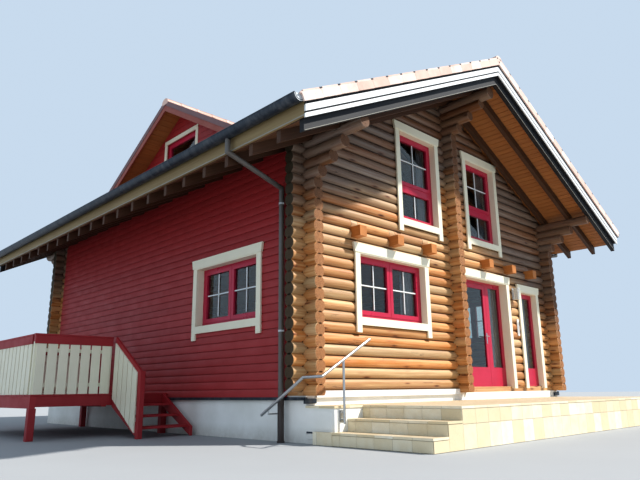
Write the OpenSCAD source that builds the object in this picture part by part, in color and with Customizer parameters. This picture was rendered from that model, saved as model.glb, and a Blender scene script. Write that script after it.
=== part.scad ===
// Alpine chalet with round log gable walls, red boarded side walls and a low tiled roof.
// Millimetres, +Z up. The origin is on the ground, under the ridge, on the centre line of the front log wall.
// The front wall faces -Y.

/* [House] */
// Distance between the centre lines of the two side walls
house_w = 7640; // [7400:20:8000]
// Distance between the centre lines of the front and back walls
house_l = 9400; // [9000:50:10400]
// Height of the white plinth under the logs
plinth_h = 640; // [600:10:680]
// Thickness of the plinth walls
plinth_t = 300; // [250:10:350]
// Thickness of the boards on the side walls
skin_t = 25; // [20:1:30]

/* [Logs] */
// Diameter of the round logs
log_d = 200; // [190:2:210]
// Height of one course of logs
course = 170; // [164:1:176]
// Number of log courses in a side wall, under its purlin
side_courses = 22; // [20:1:24]
// Length of the log ends beyond a crossing wall
log_end = 215; // [180:5:300]
// Step of each corbel beyond the one below it
corbel_step = 240; // [200:10:260]
// The same for the corbels under the ridge purlin
ridge_corbel_step = 262; // [240:2:280]
// Diameter of the ridge purlin
ridge_log_d = 240; // [220:5:260]

/* [Roof] */
// Slope of the roof in degrees
roof_pitch = 26.6; // [25.6:0.1:27.6]
// Overhang of the roof in front of the front wall's centre line
verge_over = 1430; // [1400:10:1500]
// Overhang of the eaves beyond the side walls' centre lines
eave_over = 1280; // [1200:10:1350]
// Thickness of the tile layer, measured plumb
tile_t = 80; // [60:5:100]
// Thickness of the roof slab under the tiles, measured plumb
slab_t = 270; // [240:10:300]
// Depth of a rafter, measured plumb
rafter_h = 180; // [160:5:200]
// Width of a rafter
rafter_w = 80; // [60:5:100]
// Number of bays between the rafters over the house
rafter_bays = 17; // [14:1:20]
// Depth of the rafters' notches over the side purlins
notch_h = 48; // [30:2:70]
// Height of the dormer's ridge under the main ridge
dormer_drop = 470; // [440:10:520]
// Width of the dormer between the outer faces of its side walls
dormer_w = 4100; // [3800:50:4300]

/* [Openings] */
// Clear width of the wide lower windows
low_win_w = 1740; // [1600:10:1800]
// Height of the lower windows' sills
low_win_z = 1830; // [1780:10:1880]
// Height of the heads of the lower windows and doors
head_z = 2860; // [2840:5:2870]
// Clear width of the tall upper windows
up_win_w = 1096; // [1040:4:1140]
// Height of the upper windows' sills
up_win_z = 3700; // [3660:10:3740]
// Clear width of the terrace door with its side light
terrace_door_w = 1600; // [1560:10:1640]
// Clear width of the narrow light right of the terrace door
narrow_w = 690; // [650:10:720]
// Width of the casing boards
casing_w = 115; // [100:5:125]

/* [Steps and terrace] */
// Height of one step
riser = 168; // [160:1:175]
// Depth of one tread
tread = 305; // [290:5:320]
// Width of the steps and of the terrace in front of the white ledge
step_w = 1600; // [1400:50:1800]
// Depth of the white ledge in front of the plinth
ledge_d = 560; // [500:10:600]
// Reach of the side deck beyond the boarded wall
deck_w = 2400; // [2200:50:2600]
// Length of the side deck along the house
deck_l = 3580; // [3400:20:3700]
// Clear width of the deck's stair
deck_stair_w = 1000; // [900:50:1100]

/* [Joinery] */
// Gap round a door leaf
leaf_gap = 6; // [5:1:8]
// Thickness of a door leaf
leaf_t = 50; // [44:1:56]
// Visible width of a sash or leaf frame
stile_w = 95; // [80:5:110]
// Thickness of the window frames
frame_t = 60; // [50:5:70]
// Thickness of the glass units
pane_t = 8; // [6:1:24]

/* [Hidden] */

// Clearance between pieces that are laid on or let into each other
fit = 0.3;

// Logs: each course is a circle cut by the joints above and below it
log_r = log_d / 2;
groove_angle = asin(course / log_d);
groove_half = log_r * cos(groove_angle);
wall_x = house_w / 2;
end_y = log_r + log_end;
first_front_log = plinth_h + 150;
first_side_log = first_front_log - course / 2;
purlin_z = first_side_log + side_courses * course;

// Roof planes, each given by its height under the ridge line
slope = tan(roof_pitch);
rafter_z = purlin_z + log_r - notch_h + slope * wall_x;
soffit_z = rafter_z + rafter_h;
slab_top = soffit_z + slab_t;
ridge_h = slab_top + tile_t;
fascia_x = wall_x + eave_over;
fascia_t = 30;
purlin_end = verge_over - 140;
ridge_purlin_end = purlin_end - 75;
ridge_log_z = rafter_z + 10 - ridge_log_d / 2;
front_courses = ceil((soffit_z - first_front_log) / course + 0.5);
middle_courses = ceil((ridge_log_z - ridge_log_d / 2 - first_side_log) / course + 0.5);

// Openings and what fills them
lining_t = 25;
trim_t = 30;
frame_y = 0;
header_low = 20;
header_high = 175;
splay = 45;
low_win_x = wall_x - 1975;
up_left_x = -980;
up_right_x = 1225;
up_head_z = soffit_z - slope * (up_right_x + up_win_w / 2 + casing_w + splay) - header_high - 51;
transom_h = 655;
terrace_door_x = 1140;
terrace_x0 = terrace_door_x - terrace_door_w / 2;
terrace_x1 = terrace_door_x + terrace_door_w / 2;
narrow_x = (terrace_x1 + wall_x) / 2 + 25;
narrow_head = head_z - 100;
side_win_y = 1860;
split_z = first_front_log + (ceil((head_z + lining_t - first_front_log) / course - 0.5) + 0.5) * course;

// Floors
floor_z = plinth_h + 60;
floor_gap = 5;
joist_w = 160;
joist_h = 170;
joist_z = 3115;
joist_out = 190;
joist_left = -870;
joist_left_pitch = 965;
joist_right = 1130;
joist_right_pitch = 925;
joist_xs = concat([for (i = [0:2]) joist_left - i * joist_left_pitch],
                  [for (i = [0:2]) joist_right + i * joist_right_pitch]);
upper_floor_t = 40;

// Plinth, ledge and steps
plinth_x = wall_x + log_r - 20;
plinth_y = log_r - 10;
ledge_y = -plinth_y - ledge_d;
landing_x = -plinth_x + 564;
landing_z = 3 * riser;
cover_t = 30;
nosing = 15;
drip_h = 45;

// Rise of the roof line at a distance x from the ridge
function roof_at(top, x) = top - slope * abs(x);

// Half of the outline of a stack of n logs, from its first joint to its last
function log_side(n, z0, s) = [
    for (i = [0:n - 1], k = [-2:1:1])
        [s * log_r * cos(k * groove_angle / 2), z0 + i * course + log_r * sin(k * groove_angle / 2)],
    [s * groove_half, z0 + (n - 1) * course + course / 2]
];

function reversed(a) = [for (i = [len(a) - 1:-1:0]) a[i]];

module along_y(y0, y1) {
    translate([0, y1, 0])
        rotate([90, 0, 0])
            linear_extrude(y1 - y0)
                children();
}

module along_x(x0, x1) {
    translate([x0, 0, 0])
        rotate([90, 0, 90])
            linear_extrude(x1 - x0)
                children();
}

module box(x0, x1, y0, y1, z0, z1) {
    translate([x0, y0, z0])
        cube([x1 - x0, y1 - y0, z1 - z0]);
}

// The same thing at both sides of the house
module both_sides() {
    children();
    mirror([1, 0, 0])
        children();
}

module on_left_wall() {
    translate([-wall_x, side_win_y, 0])
        rotate([0, 0, -90])
            children();
}

module on_back_wall() {
    translate([0, house_l, 0])
        rotate([0, 0, 180])
            children();
}

// Tube between two points, with a slightly thicker round joint at each end
module tube(a, b, d) {
    v = b - a;
    translate(a)
        rotate([0, acos(v[2] / norm(v)), atan2(v[1], v[0])])
            cylinder(d = d, h = norm(v), $fn = 20);
    for (p = [a, b])
        translate(p)
            sphere(d = d + 2, $fn = 20);
}

// Sloping layer of one roof side between two plumb depths under the ridge line
module roof_layer(side, top, bottom, x1, y0, y1, x0 = 0) {
    along_y(y0, y1)
        polygon([[side * x0, roof_at(top, x0)], [side * x1, roof_at(top, x1)],
                 [side * x1, roof_at(bottom, x1)], [side * x0, roof_at(bottom, x0)]]);
}

// Everything above a roof plane, to cut walls with
module above_roof(top) {
    high = ridge_h + 2000;
    far = fascia_x + 1500;
    along_y(-verge_over - 500, house_l + verge_over + 500)
        polygon([[0, top], [far, roof_at(top, far)], [far, high], [-far, high], [-far, roof_at(top, far)]]);
}

// Everything on the left side that lies under a roof plane
module below_roof(top) {
    far = fascia_x + 500;
    along_y(-100, house_l)
        polygon([[0, top], [-far, roof_at(top, far)], [-far, 0], [0, 0]]);
}

// Cross-section of a stack of logs round the line x = 0
module log_profile(n, z0) {
    polygon(concat(log_side(n, z0, 1), reversed(log_side(n, z0, -1))));
}

module front_logs() {
    along_x(-wall_x - end_y, wall_x + end_y)
        log_profile(front_courses, first_front_log);
    box(-wall_x - log_r, wall_x + log_r, -groove_half - 10, groove_half + 10,
        plinth_h, first_front_log - course / 2);
}

module back_logs() {
    translate([0, house_l, 0])
        front_logs();
}

// Log that lies along the house on top of the left side wall, flat where it sits on the wall
module left_purlin_log(gap) {
    difference() {
        along_y(-purlin_end, house_l + purlin_end)
            translate([-wall_x, purlin_z])
                circle(r = log_r + gap, $fn = 48);
        box(-wall_x - log_d, -wall_x + log_d, -verge_over, house_l + verge_over,
            purlin_z - log_d, purlin_z - course / 2);
    }
}

module ridge_log(gap) {
    along_y(-ridge_purlin_end, house_l + ridge_purlin_end)
        translate([0, ridge_log_z])
            circle(r = ridge_log_d / 2 + gap, $fn = 48);
}

module purlin_holes() {
    ridge_log(fit);
    both_sides()
        left_purlin_log(fit);
}

// Hole in a wall for a window or door of clear width w
module opening(x, w, z0, z1) {
    box(x - w / 2 - lining_t, x + w / 2 + lining_t, -end_y, end_y, z0 - lining_t, z1 + lining_t);
}

module joist_holes() {
    for (x = joist_xs)
        box(x - joist_w / 2, x + joist_w / 2, -end_y, end_y, joist_z, joist_z + joist_h);
}

module front_openings() {
    opening(-low_win_x, low_win_w, low_win_z, head_z);
    opening(up_left_x, up_win_w, up_win_z, up_head_z);
    opening(up_right_x, up_win_w, up_win_z, up_head_z);
    opening(terrace_door_x, terrace_door_w, floor_z, head_z);
    opening(narrow_x, narrow_w, floor_z, narrow_head);
}

// Logs of the front wall inside the boxes given as children, with all that is cut out of them
module front_part() {
    color("peru")
        difference() {
            intersection() {
                front_logs();
                children();
            }
            front_openings();
            joist_holes();
            above_roof(soffit_z - fit);
            purlin_holes();
        }
}

door_left = terrace_x0 - lining_t;
door_right = terrace_x1 + lining_t;

module wall_zone(x0, x1, z0, z1) {
    box(x0, x1, -log_d, log_d, z0, z1);
}

module front_wall_left() {
    front_part()
        wall_zone(-wall_x - end_y, door_left, plinth_h, split_z);
}

module front_wall_right() {
    front_part()
        wall_zone(door_right, wall_x + end_y, plinth_h, split_z);
}

module front_gable() {
    front_part() {
        wall_zone(-wall_x - end_y, wall_x + end_y, split_z, ridge_h);
        wall_zone(door_left, door_right, head_z, split_z + 1);
    }
}

// Ends of the middle wall's logs, corbelled out under the ridge
module middle_wall_ends() {
    corbels = 3;
    color("sienna")
        difference() {
            union() {
                along_y(-end_y, 0)
                    log_profile(middle_courses, first_side_log);
                for (k = [1:corbels])
                    along_y(-end_y - (k - 0.4) * ridge_corbel_step, 0)
                        log_profile(corbels + 1 - k, first_side_log + (middle_courses - corbels - 1 + k) * course);
            }
            front_logs();
            ridge_log(fit);
            wall_zone(-log_d, log_d, 0, plinth_h);
        }
}

// A side wall round x = 0, with corbels under the purlin
module side_logs() {
    corbels = 3;
    reach = 0.4 * corbel_step;
    difference() {
        union() {
            along_y(-end_y, house_l + end_y)
                log_profile(side_courses, first_side_log);
            for (k = [0:corbels - 1])
                along_y(-end_y - reach - k * corbel_step, house_l + end_y + reach + k * corbel_step)
                    log_profile(corbels - k, first_side_log + (side_courses - corbels + k) * course);
        }
        box(-log_d, log_d, -verge_over, house_l + verge_over, 0, plinth_h);
    }
}

module side_opening() {
    box(-end_y, end_y, side_win_y - low_win_w / 2 - lining_t, side_win_y + low_win_w / 2 + lining_t,
        low_win_z - lining_t, head_z + lining_t);
}

module left_wall() {
    color("sienna")
        difference() {
            translate([-wall_x, 0, 0])
                difference() {
                    side_logs();
                    side_opening();
                }
            front_logs();
            back_logs();
        }
}

module right_wall() {
    mirror([1, 0, 0])
        left_wall();
}

module back_openings() {
    for (s = [-1, 1]) {
        opening(s * low_win_x, low_win_w, low_win_z, head_z);
        opening(s * up_right_x, up_win_w, up_win_z, up_head_z);
    }
}

module back_wall() {
    color("peru")
        difference() {
            back_logs();
            translate([0, house_l, 0]) {
                back_openings();
                joist_holes();
            }
            above_roof(soffit_z - fit);
            purlin_holes();
        }
}

module left_purlin() {
    color("sienna")
        left_purlin_log(0);
}

module right_purlin() {
    mirror([1, 0, 0])
        left_purlin();
}

module ridge_purlin() {
    color("sienna")
        ridge_log(0);
}

// Places of the rafters along the house, with the barge rafters at both ends
rafter_first = -255;
rafter_out = 600;
barge_y = -verge_over + 120;
rafter_ys = concat([barge_y, rafter_first - rafter_out],
                   [for (i = [0:rafter_bays]) rafter_first + i * (house_l - 2 * rafter_first) / rafter_bays],
                   [house_l - rafter_first + rafter_out, house_l - barge_y]);

module rafter_row(side, gap) {
    for (y = rafter_ys)
        roof_layer(side, soffit_z - fit + gap, rafter_z - gap, fascia_x - fascia_t - 10 + gap,
                   y - rafter_w / 2 - gap, y + rafter_w / 2 + gap);
}

module left_rafters() {
    color("saddlebrown")
        difference() {
            rafter_row(-1, 0);
            dormer_hollow();
            left_purlin_log(fit);
            ridge_log(fit);
        }
}

module right_rafters() {
    color("saddlebrown")
        difference() {
            rafter_row(1, 0);
            mirror([1, 0, 0])
                left_purlin_log(fit);
            ridge_log(fit);
        }
}

module roof_side(side) {
    roof_layer(side, slab_top, soffit_z, fascia_x - fascia_t, -verge_over + verge_t, house_l + verge_over - verge_t);
}

module left_roof() {
    color("burlywood")
        difference() {
            roof_side(-1);
            dormer_hollow();
        }
}

module right_roof() {
    color("burlywood")
        roof_side(1);
}

// Tile layer of one side: the field, its thin nose over the gutter and a flange down each verge
verge_t = 30;
nose_t = 35;
nose_out = 120;
flange_h = 142;
ridge_half = 60;

module tile_side(side) {
    y0 = -verge_over - verge_t;
    y1 = house_l + verge_over + verge_t;
    nose_x = fascia_x + nose_out;
    roof_layer(side, ridge_h, slab_top + fit, fascia_x, y0, y1, ridge_half);
    roof_layer(side, ridge_h, ridge_h - nose_t, nose_x, y0, y1, ridge_half);
    roof_layer(side, ridge_h, ridge_h - flange_h, nose_x, y0, -verge_over, ridge_half);
    roof_layer(side, ridge_h, ridge_h - flange_h, nose_x, house_l + verge_over, y1, ridge_half);
}

module left_tiles() {
    color("lightsalmon")
        difference() {
            tile_side(-1);
            along_x(-dormer_x, -dormer_in)
                dormer_outline(dormer_w / 2 + fit, fit);
        }
}

module right_tiles() {
    color("lightsalmon")
        tile_side(1);
}

// Half of the ridge tile's section, from its foot on the slab up to its crown
function ridge_side(s) = [
    [s * (ridge_half - fit), roof_at(slab_top + fit, ridge_half)],
    [s * (ridge_half - fit), roof_at(ridge_h + fit, ridge_half - fit)],
    [s * 110, roof_at(ridge_h + fit, 110)],
    [s * ridge_half, ridge_h + 25],
];

module ridge_tiles() {
    color("salmon")
        along_y(-verge_over - verge_t, house_l + verge_over + verge_t)
            polygon(concat(ridge_side(-1), [[0, ridge_h + 45]], reversed(ridge_side(1)), [[0, slab_top + fit]]));
}

// Two white boards in steps on the edge of one roof side, on a board behind them
verge_board_1 = [100, 194];
verge_board_2 = [220, 279];

module verge_side(s) {
    y0 = -verge_over;
    top = slab_top - fit;
    roof_layer(s, top, slab_top - verge_board_2[1] + 5, fascia_x - 5, y0 + verge_t - 12, y0 + verge_t, fit);
    roof_layer(s, slab_top - verge_board_1[0], slab_top - verge_board_1[1], fascia_x, y0, y0 + verge_t, fit);
    roof_layer(s, slab_top - verge_board_2[0], slab_top - verge_board_2[1], fascia_x, y0 + 6, y0 + verge_t, fit);
}

module front_verge_boards() {
    color("whitesmoke") {
        verge_side(-1);
        verge_side(1);
    }
}

module back_verge_boards() {
    translate([0, house_l, 0])
        mirror([0, 1, 0])
            front_verge_boards();
}

// Board along the ends of the rafters
fascia_bottom = roof_at(ridge_h, fascia_x) - 330;

module left_fascia() {
    color("rosybrown")
        box(-fascia_x, -fascia_x + fascia_t, -verge_over + verge_t + fit, house_l + verge_over - verge_t - fit,
            fascia_bottom, roof_at(slab_top, fascia_x) - 20);
}

module right_fascia() {
    mirror([1, 0, 0])
        left_fascia();
}

gutter_r = 75;
gutter_wall = 4;
gutter_z = roof_at(slab_top, fascia_x) - 25;

// Solid shape of the left gutter, which also keeps the pipe's mouth clear of it
module left_gutter_shape() {
    translate([-fascia_x - gutter_r, 0, gutter_z])
        along_y(-verge_over, house_l + verge_over)
            intersection() {
                circle(r = gutter_r, $fn = 12);
                translate([-gutter_r, -gutter_r])
                    square([2 * gutter_r, gutter_r]);
            }
}

module left_gutter() {
    color("darkslategray")
        difference() {
            left_gutter_shape();
            translate([-fascia_x - gutter_r, 0, gutter_z])
                along_y(-verge_over + gutter_wall, house_l + verge_over - gutter_wall)
                    circle(r = gutter_r - gutter_wall, $fn = 12);
        }
}

module right_gutter() {
    mirror([1, 0, 0])
        left_gutter();
}

// Rain pipe: out of the gutter, back to the wall and straight down
pipe_d = 80;
pipe_off = 20;
pipe_x = wall_x + log_r + skin_t + pipe_off + pipe_d / 2;
pipe_y = 330;
pipe_lean = 190;
pipe_drop = 260;
pipe_top = fascia_bottom - pipe_drop;

module left_downpipe() {
    outlet = [-fascia_x - gutter_r, pipe_y - pipe_lean, fascia_bottom - pipe_d / 2 + 8];
    knee = [-pipe_x, pipe_y, pipe_top];
    color("dimgray")
        difference() {
            union() {
                translate([-pipe_x, pipe_y, 0])
                    cylinder(d = pipe_d, h = pipe_top, $fn = 24);
                tube(outlet, knee, pipe_d);
                translate(outlet)
                    cylinder(d = pipe_d, h = gutter_z - outlet[2], $fn = 24);
            }
            left_gutter_shape();
        }
}

module right_downpipe() {
    mirror([1, 0, 0])
        left_downpipe();
}

// Boarded skin on a side wall up to the roof boards, cut round the rafters, on a dark drip strip
// that runs along the top of the plinth and turns the corner
module left_boarding() {
    skin_x = -wall_x - log_r;
    drip_z = plinth_h - 20;
    return_z = drip_z - 2 * drip_h;
    color("brown") {
        difference() {
            box(skin_x - skin_t, skin_x, end_y - 20, house_l - end_y + 20, drip_z, soffit_z);
            above_roof(soffit_z - fit);
            rafter_row(-1, fit);
            translate([-wall_x, 0, 0])
                side_opening();
        }
        box(skin_x - skin_t, -plinth_x, -plinth_y - trim_t, house_l + plinth_y + trim_t, drip_z - drip_h, drip_z);
        box(skin_x - skin_t, -wall_x + log_r - fit, -plinth_y - trim_t, -plinth_y, return_z, drip_z - 20);
    }
}

module right_boarding() {
    mirror([1, 0, 0])
        left_boarding();
}

module plinth() {
    color("white")
        difference() {
            box(-plinth_x, plinth_x, -plinth_y, house_l + plinth_y, 0, plinth_h);
            box(-plinth_x + plinth_t, plinth_x - plinth_t, -plinth_y + plinth_t, house_l + plinth_y - plinth_t,
                -1, plinth_h + 1);
        }
}

// Floor plate between the walls
module floor_plate(z0, z1) {
    x1 = wall_x - log_r - floor_gap;
    y0 = log_r + floor_gap;
    box(-x1, x1, y0, house_l - y0, z0, z1);
}

module ground_floor() {
    color("tan")
        floor_plate(plinth_h, floor_z);
}

module floor_joists() {
    color("sandybrown")
        for (x = joist_xs)
            box(x - joist_w / 2, x + joist_w / 2, -log_r - joist_out, house_l + log_r + joist_out,
                joist_z, joist_z + joist_h);
}

module upper_floor() {
    color("tan")
        floor_plate(joist_z + joist_h, joist_z + joist_h + upper_floor_t);
}

// White band under the lowest logs, left and right of the middle wall
module base_board() {
    color("white")
        for (x = [[-wall_x + log_r, -log_r], [log_r, door_left - casing_w - splay]])
            box(x[0], x[1], -log_r - trim_t, -plinth_y, plinth_h - 30, first_front_log - course / 2);
}

// Outline of the ledge and the terrace, grown by g at the open edges
module terrace_outline(g) {
    polygon([[-plinth_x - g, -plinth_y], [-plinth_x - g, ledge_y - g], [landing_x - g, ledge_y - g],
             [landing_x - g, ledge_y - step_w - g], [plinth_x + g, ledge_y - step_w - g], [plinth_x + g, -plinth_y]]);
}

module front_terrace() {
    color("gainsboro") {
        linear_extrude(landing_z - cover_t)
            terrace_outline(0);
        translate([0, 0, landing_z - cover_t])
            linear_extrude(cover_t)
                terrace_outline(nosing);
    }
}

// Two steps up to the terrace, each a block under a tread slab, and a strip back along the ledge's end
module front_steps() {
    strip_y = ledge_y + 370;
    color("tan") {
        for (k = [1:2]) {
            x0 = landing_x - k * tread;
            z1 = landing_z - k * riser;
            box(x0, x0 + tread, ledge_y - step_w, ledge_y, 0, z1 - cover_t);
            box(x0 - nosing, x0 + tread, ledge_y - step_w - nosing, ledge_y, z1 - cover_t, z1);
        }
        box(landing_x - 2 * tread - nosing, -plinth_x, ledge_y - 1, strip_y, 0, riser);
    }
}

// Steel rail up the steps, carried round the corner and down along the house
module handrail() {
    rail_d = 42;
    post_d = 34;
    y = ledge_y - 60;
    turn_x = -plinth_x - 275;
    post_x = -plinth_x + 130;
    plate_z = riser + 132;
    plate_h = 150;
    drop = 505 / 890;
    hold_y = y + 1110;
    hold_z = landing_z - 112;
    pts = [[landing_x + 110, y, landing_z + 905], [turn_x, y, landing_z + 386],
           [turn_x, y + 370, landing_z + 380], [turn_x, y + 1260, landing_z + 380 - 890 * drop]];
    rail_z = pts[2][2] - (hold_y - pts[2][1]) * drop;
    post_top = pts[1][2] + (post_x - turn_x) * (pts[0][2] - pts[1][2]) / (pts[0][0] - turn_x);
    color("silver") {
        for (i = [0:2])
            tube(pts[i], pts[i + 1], rail_d);
        translate([post_x, y, plate_z - 30])
            cylinder(d = post_d, h = post_top - plate_z + 30, $fn = 20);
        box(post_x - 45, post_x + 45, ledge_y - 12, ledge_y, plate_z, plate_z + plate_h);
        for (z = [plate_z + 30, plate_z + plate_h - 30])
            translate([post_x, ledge_y, z])
                rotate([90, 0, 0])
                    cylinder(d = 16, h = 60, $fn = 16);
        translate([turn_x, hold_y, hold_z])
            cylinder(d = 16, h = rail_z - hold_z, $fn = 16);
        translate([turn_x - 8, hold_y, hold_z])
            rotate([0, 90, 0])
                cylinder(d = 18, h = -plinth_x - turn_x + 8, $fn = 16);
    }
}

// Jamb on one side of an opening: a board on the wall and the lining in the wall
module casing_jamb(w, z0, z1, sill, proud) {
    face = -log_r - proud;
    tail = sill ? 245 : 0;
    box(-w / 2 - casing_w, -w / 2, face - trim_t, face, z0 - tail, z1 + header_low - fit);
    box(-w / 2 - lining_t, -w / 2, face - 1, log_r, z0 + fit, z1 - fit);
}

// Boards round one opening of clear width w, round x = 0, drawn in the front wall's plane: two jambs, a head
// and a sill, each with its own part of the lining
module casing(w, z0, z1, sill, proud = 0) {
    face = -log_r - proud;
    edge = w / 2 + casing_w;
    both_sides()
        casing_jamb(w, z0, z1, sill, proud);
    along_y(face - trim_t - 10, face)
        polygon([[-edge - 15, z1 + header_low], [-edge - splay, z1 + header_high],
                 [edge + splay, z1 + header_high], [edge + 15, z1 + header_low]]);
    box(-w / 2 + fit, w / 2 - fit, face - trim_t, face, z1, z1 + header_low + 1);
    box(-w / 2 - lining_t, w / 2 + lining_t, face + fit, log_r, z1, z1 + lining_t);
    if (sill) {
        box(-w / 2 + fit, w / 2 - fit, face - trim_t, face, z0 - 125, z0);
        box(-w / 2 - lining_t, w / 2 + lining_t, face + fit, log_r, z0 - lining_t, z0);
    }
}

// Places and sizes of the front windows: centre, width, sill, head
front_windows = [[-low_win_x, low_win_w, low_win_z, head_z], [up_left_x, up_win_w, up_win_z, up_head_z],
                 [up_right_x, up_win_w, up_win_z, up_head_z]];
// The same for the back windows
back_windows = [[-low_win_x, low_win_w, low_win_z, head_z], [low_win_x, low_win_w, low_win_z, head_z],
                [-up_right_x, up_win_w, up_win_z, up_head_z], [up_right_x, up_win_w, up_win_z, up_head_z]];

// Casings of all windows, wall by wall
module window_casings() {
    color("beige") {
        for (w = front_windows)
            translate([w[0], 0, 0])
                casing(w[1], w[2], w[3], true);
        translate([narrow_x, 0, 0])
            casing(narrow_w, floor_z, narrow_head, false);
        both_sides()
            on_left_wall()
                casing(low_win_w, low_win_z, head_z, true, skin_t);
        on_back_wall()
            for (w = back_windows)
                translate([w[0], 0, 0])
                    casing(w[1], w[2], w[3], true);
    }
}

module door_casing() {
    color("beige")
        translate([terrace_door_x, 0, 0])
            casing(terrace_door_w, floor_z, head_z, false);
}

// Rectangle in a frame's plane, t thick about the frame's middle
module pane(x0, x1, z0, z1, t) {
    box(x0, x1, frame_y + (frame_t - t) / 2, frame_y + (frame_t + t) / 2, z0, z1);
}

// Places of a window's panes: left, right, bottom, top
function low_lights(w, z0, z1) = [for (s = [-1, 1]) let (c = s * (w / 4 - 28), h = w / 4 - 102)
    [c - h, c + h, z0 + 130, z1 - 110]];
function up_lights(w, z0, z1) = [[-w / 2 + 125, w / 2 - 125, z0 + transom_h + 115, z1 - 115],
                                 [-w / 2 + 125, w / 2 - 125, z0 + 95, z0 + transom_h - 95]];
function lights(w, z0, z1) = w > z1 - z0 ? low_lights(w, z0, z1) : up_lights(w, z0, z1);

module panes(w, z0, z1, t) {
    for (p = lights(w, z0, z1))
        pane(p[0], p[1], p[2], p[3], t);
}

// Window frame with sashes that stand a little proud of it
module frame(w, z0, z1) {
    sash_w = 70;
    sash_out = 12;
    difference() {
        union() {
            box(-w / 2, w / 2, frame_y, frame_y + frame_t, z0, z1);
            for (p = lights(w, z0, z1))
                box(p[0] - sash_w, p[1] + sash_w, frame_y - sash_out, frame_y + 1, p[2] - sash_w, p[3] + sash_w);
        }
        panes(w, z0, z1, frame_t + 2 * sash_out + 2);
    }
}

module narrow_pane(t) {
    pane(narrow_x - narrow_w / 2 + stile_w, narrow_x + narrow_w / 2 - stile_w,
         floor_z + door_panel_h, narrow_head - stile_w, t);
}

module window_frames() {
    color("crimson") {
        for (w = front_windows)
            translate([w[0], 0, 0])
                frame(w[1], w[2], w[3]);
        difference() {
            box(narrow_x - narrow_w / 2, narrow_x + narrow_w / 2, frame_y, frame_y + frame_t, floor_z, narrow_head);
            narrow_pane(frame_t + 2);
        }
        both_sides()
            on_left_wall()
                frame(low_win_w, low_win_z, head_z);
        on_back_wall()
            for (w = back_windows)
                translate([w[0], 0, 0])
                    frame(w[1], w[2], w[3]);
        difference() {
            dormer_window_box(frame_t, 0);
            dormer_window_box(frame_t + 2, stile_w);
        }
    }
}

module window_glass() {
    color("lightblue") {
        for (w = front_windows)
            translate([w[0], 0, 0])
                panes(w[1], w[2], w[3], pane_t);
        narrow_pane(pane_t);
        both_sides()
            on_left_wall()
                panes(low_win_w, low_win_z, head_z, pane_t);
        on_back_wall()
            for (w = back_windows)
                translate([w[0], 0, 0])
                    panes(w[1], w[2], w[3], pane_t);
        dormer_window_box(pane_t, stile_w);
        side_light_pane(pane_t);
    }
}

// Terrace door: a leaf hung on the left, and a fixed side light on the right
jamb = 50;
sill_h = 20;
door_panel_h = 420;
side_light_w = 545;
leaf_y = log_r - leaf_t;
mullion_x = terrace_x1 - side_light_w;
leaf_x0 = terrace_x0 + jamb + leaf_gap;
leaf_x1 = mullion_x - jamb - leaf_gap;
hinge_r = 9;
hinge_h = 60;
hinge_plate = 3;
hinge_x = terrace_x0 + jamb + leaf_gap / 2;
hinge_y = log_r + hinge_r;
hinge_zs = [for (k = [0:2]) floor_z + 250 + k * (head_z - floor_z - 610) / 2];

// Slab in the door's plane, t thick about the leaf's middle
module door_slab(x0, x1, z0, z1, t) {
    box(x0, x1, leaf_y + (leaf_t - t) / 2, leaf_y + (leaf_t + t) / 2, z0, z1);
}

module side_light_pane(t) {
    door_slab(mullion_x + jamb + 20, terrace_x1 - stile_w, floor_z + door_panel_h, head_z - 2 * jamb, t);
}

module leaf_light(t) {
    door_slab(leaf_x0 + stile_w, leaf_x1 - stile_w, floor_z + door_panel_h,
              head_z - jamb - leaf_gap - stile_w, t);
}

// One half of a hinge: a knuckle round the axis and a plate to its fixing
module hinge_half(z, x0, x1) {
    translate([hinge_x, hinge_y, z])
        cylinder(r = hinge_r, h = hinge_h, $fn = 24);
    box(x0, x1, log_r, log_r + hinge_plate, z, z + hinge_h);
}

// Frame of the terrace door with its side light and the fixed halves of the hinges
module door_frame() {
    color("crimson") {
        difference() {
            door_slab(terrace_x0, terrace_x1, floor_z, head_z, leaf_t);
            door_slab(terrace_x0 + jamb, mullion_x - jamb, floor_z + sill_h, head_z - jamb, leaf_t + 2);
            side_light_pane(leaf_t + 2);
        }
        for (z = hinge_zs)
            hinge_half(z, terrace_x0 + 20, hinge_x);
    }
}

module terrace_door() {
    color("crimson") {
        difference() {
            door_slab(leaf_x0, leaf_x1, floor_z + sill_h + leaf_gap, head_z - jamb - leaf_gap, leaf_t);
            leaf_light(leaf_t + 2);
        }
        for (z = hinge_zs)
            hinge_half(z + hinge_h + fit, hinge_x, hinge_x + 35);
    }
}

module terrace_door_glass() {
    color("lightblue")
        leaf_light(pane_t);
}

// Cross gable on the left roof side
dormer_y = 3650;
dormer_top = ridge_h - dormer_drop;
dormer_roof_t = 150;
dormer_wall_t = 120;
dormer_over = 400;
dormer_slope = tan(30);
dormer_x = wall_x + log_r - 40;
dormer_in = 300;
dormer_foot = roof_at(slab_top, dormer_x);
dormer_low = dormer_foot - slab_t - rafter_h - 500;
dormer_win_w = 1100;
dormer_win_z = dormer_foot + 250;
dormer_win_h = 620;

// Outline of the dormer up to the underside of its roof, at a half width h, or raised by a gap
module dormer_outline(h, gap = 0) {
    top = dormer_top - dormer_roof_t - fit + gap;
    polygon([[dormer_y - h, dormer_low], [dormer_y - h, top - h * dormer_slope], [dormer_y, top],
             [dormer_y + h, top - h * dormer_slope], [dormer_y + h, dormer_low]]);
}

// Hollow of the dormer, through the roof of the left side
module dormer_hollow() {
    along_x(-dormer_x + dormer_wall_t, -dormer_in)
        dormer_outline(dormer_w / 2 - dormer_wall_t);
}

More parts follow.
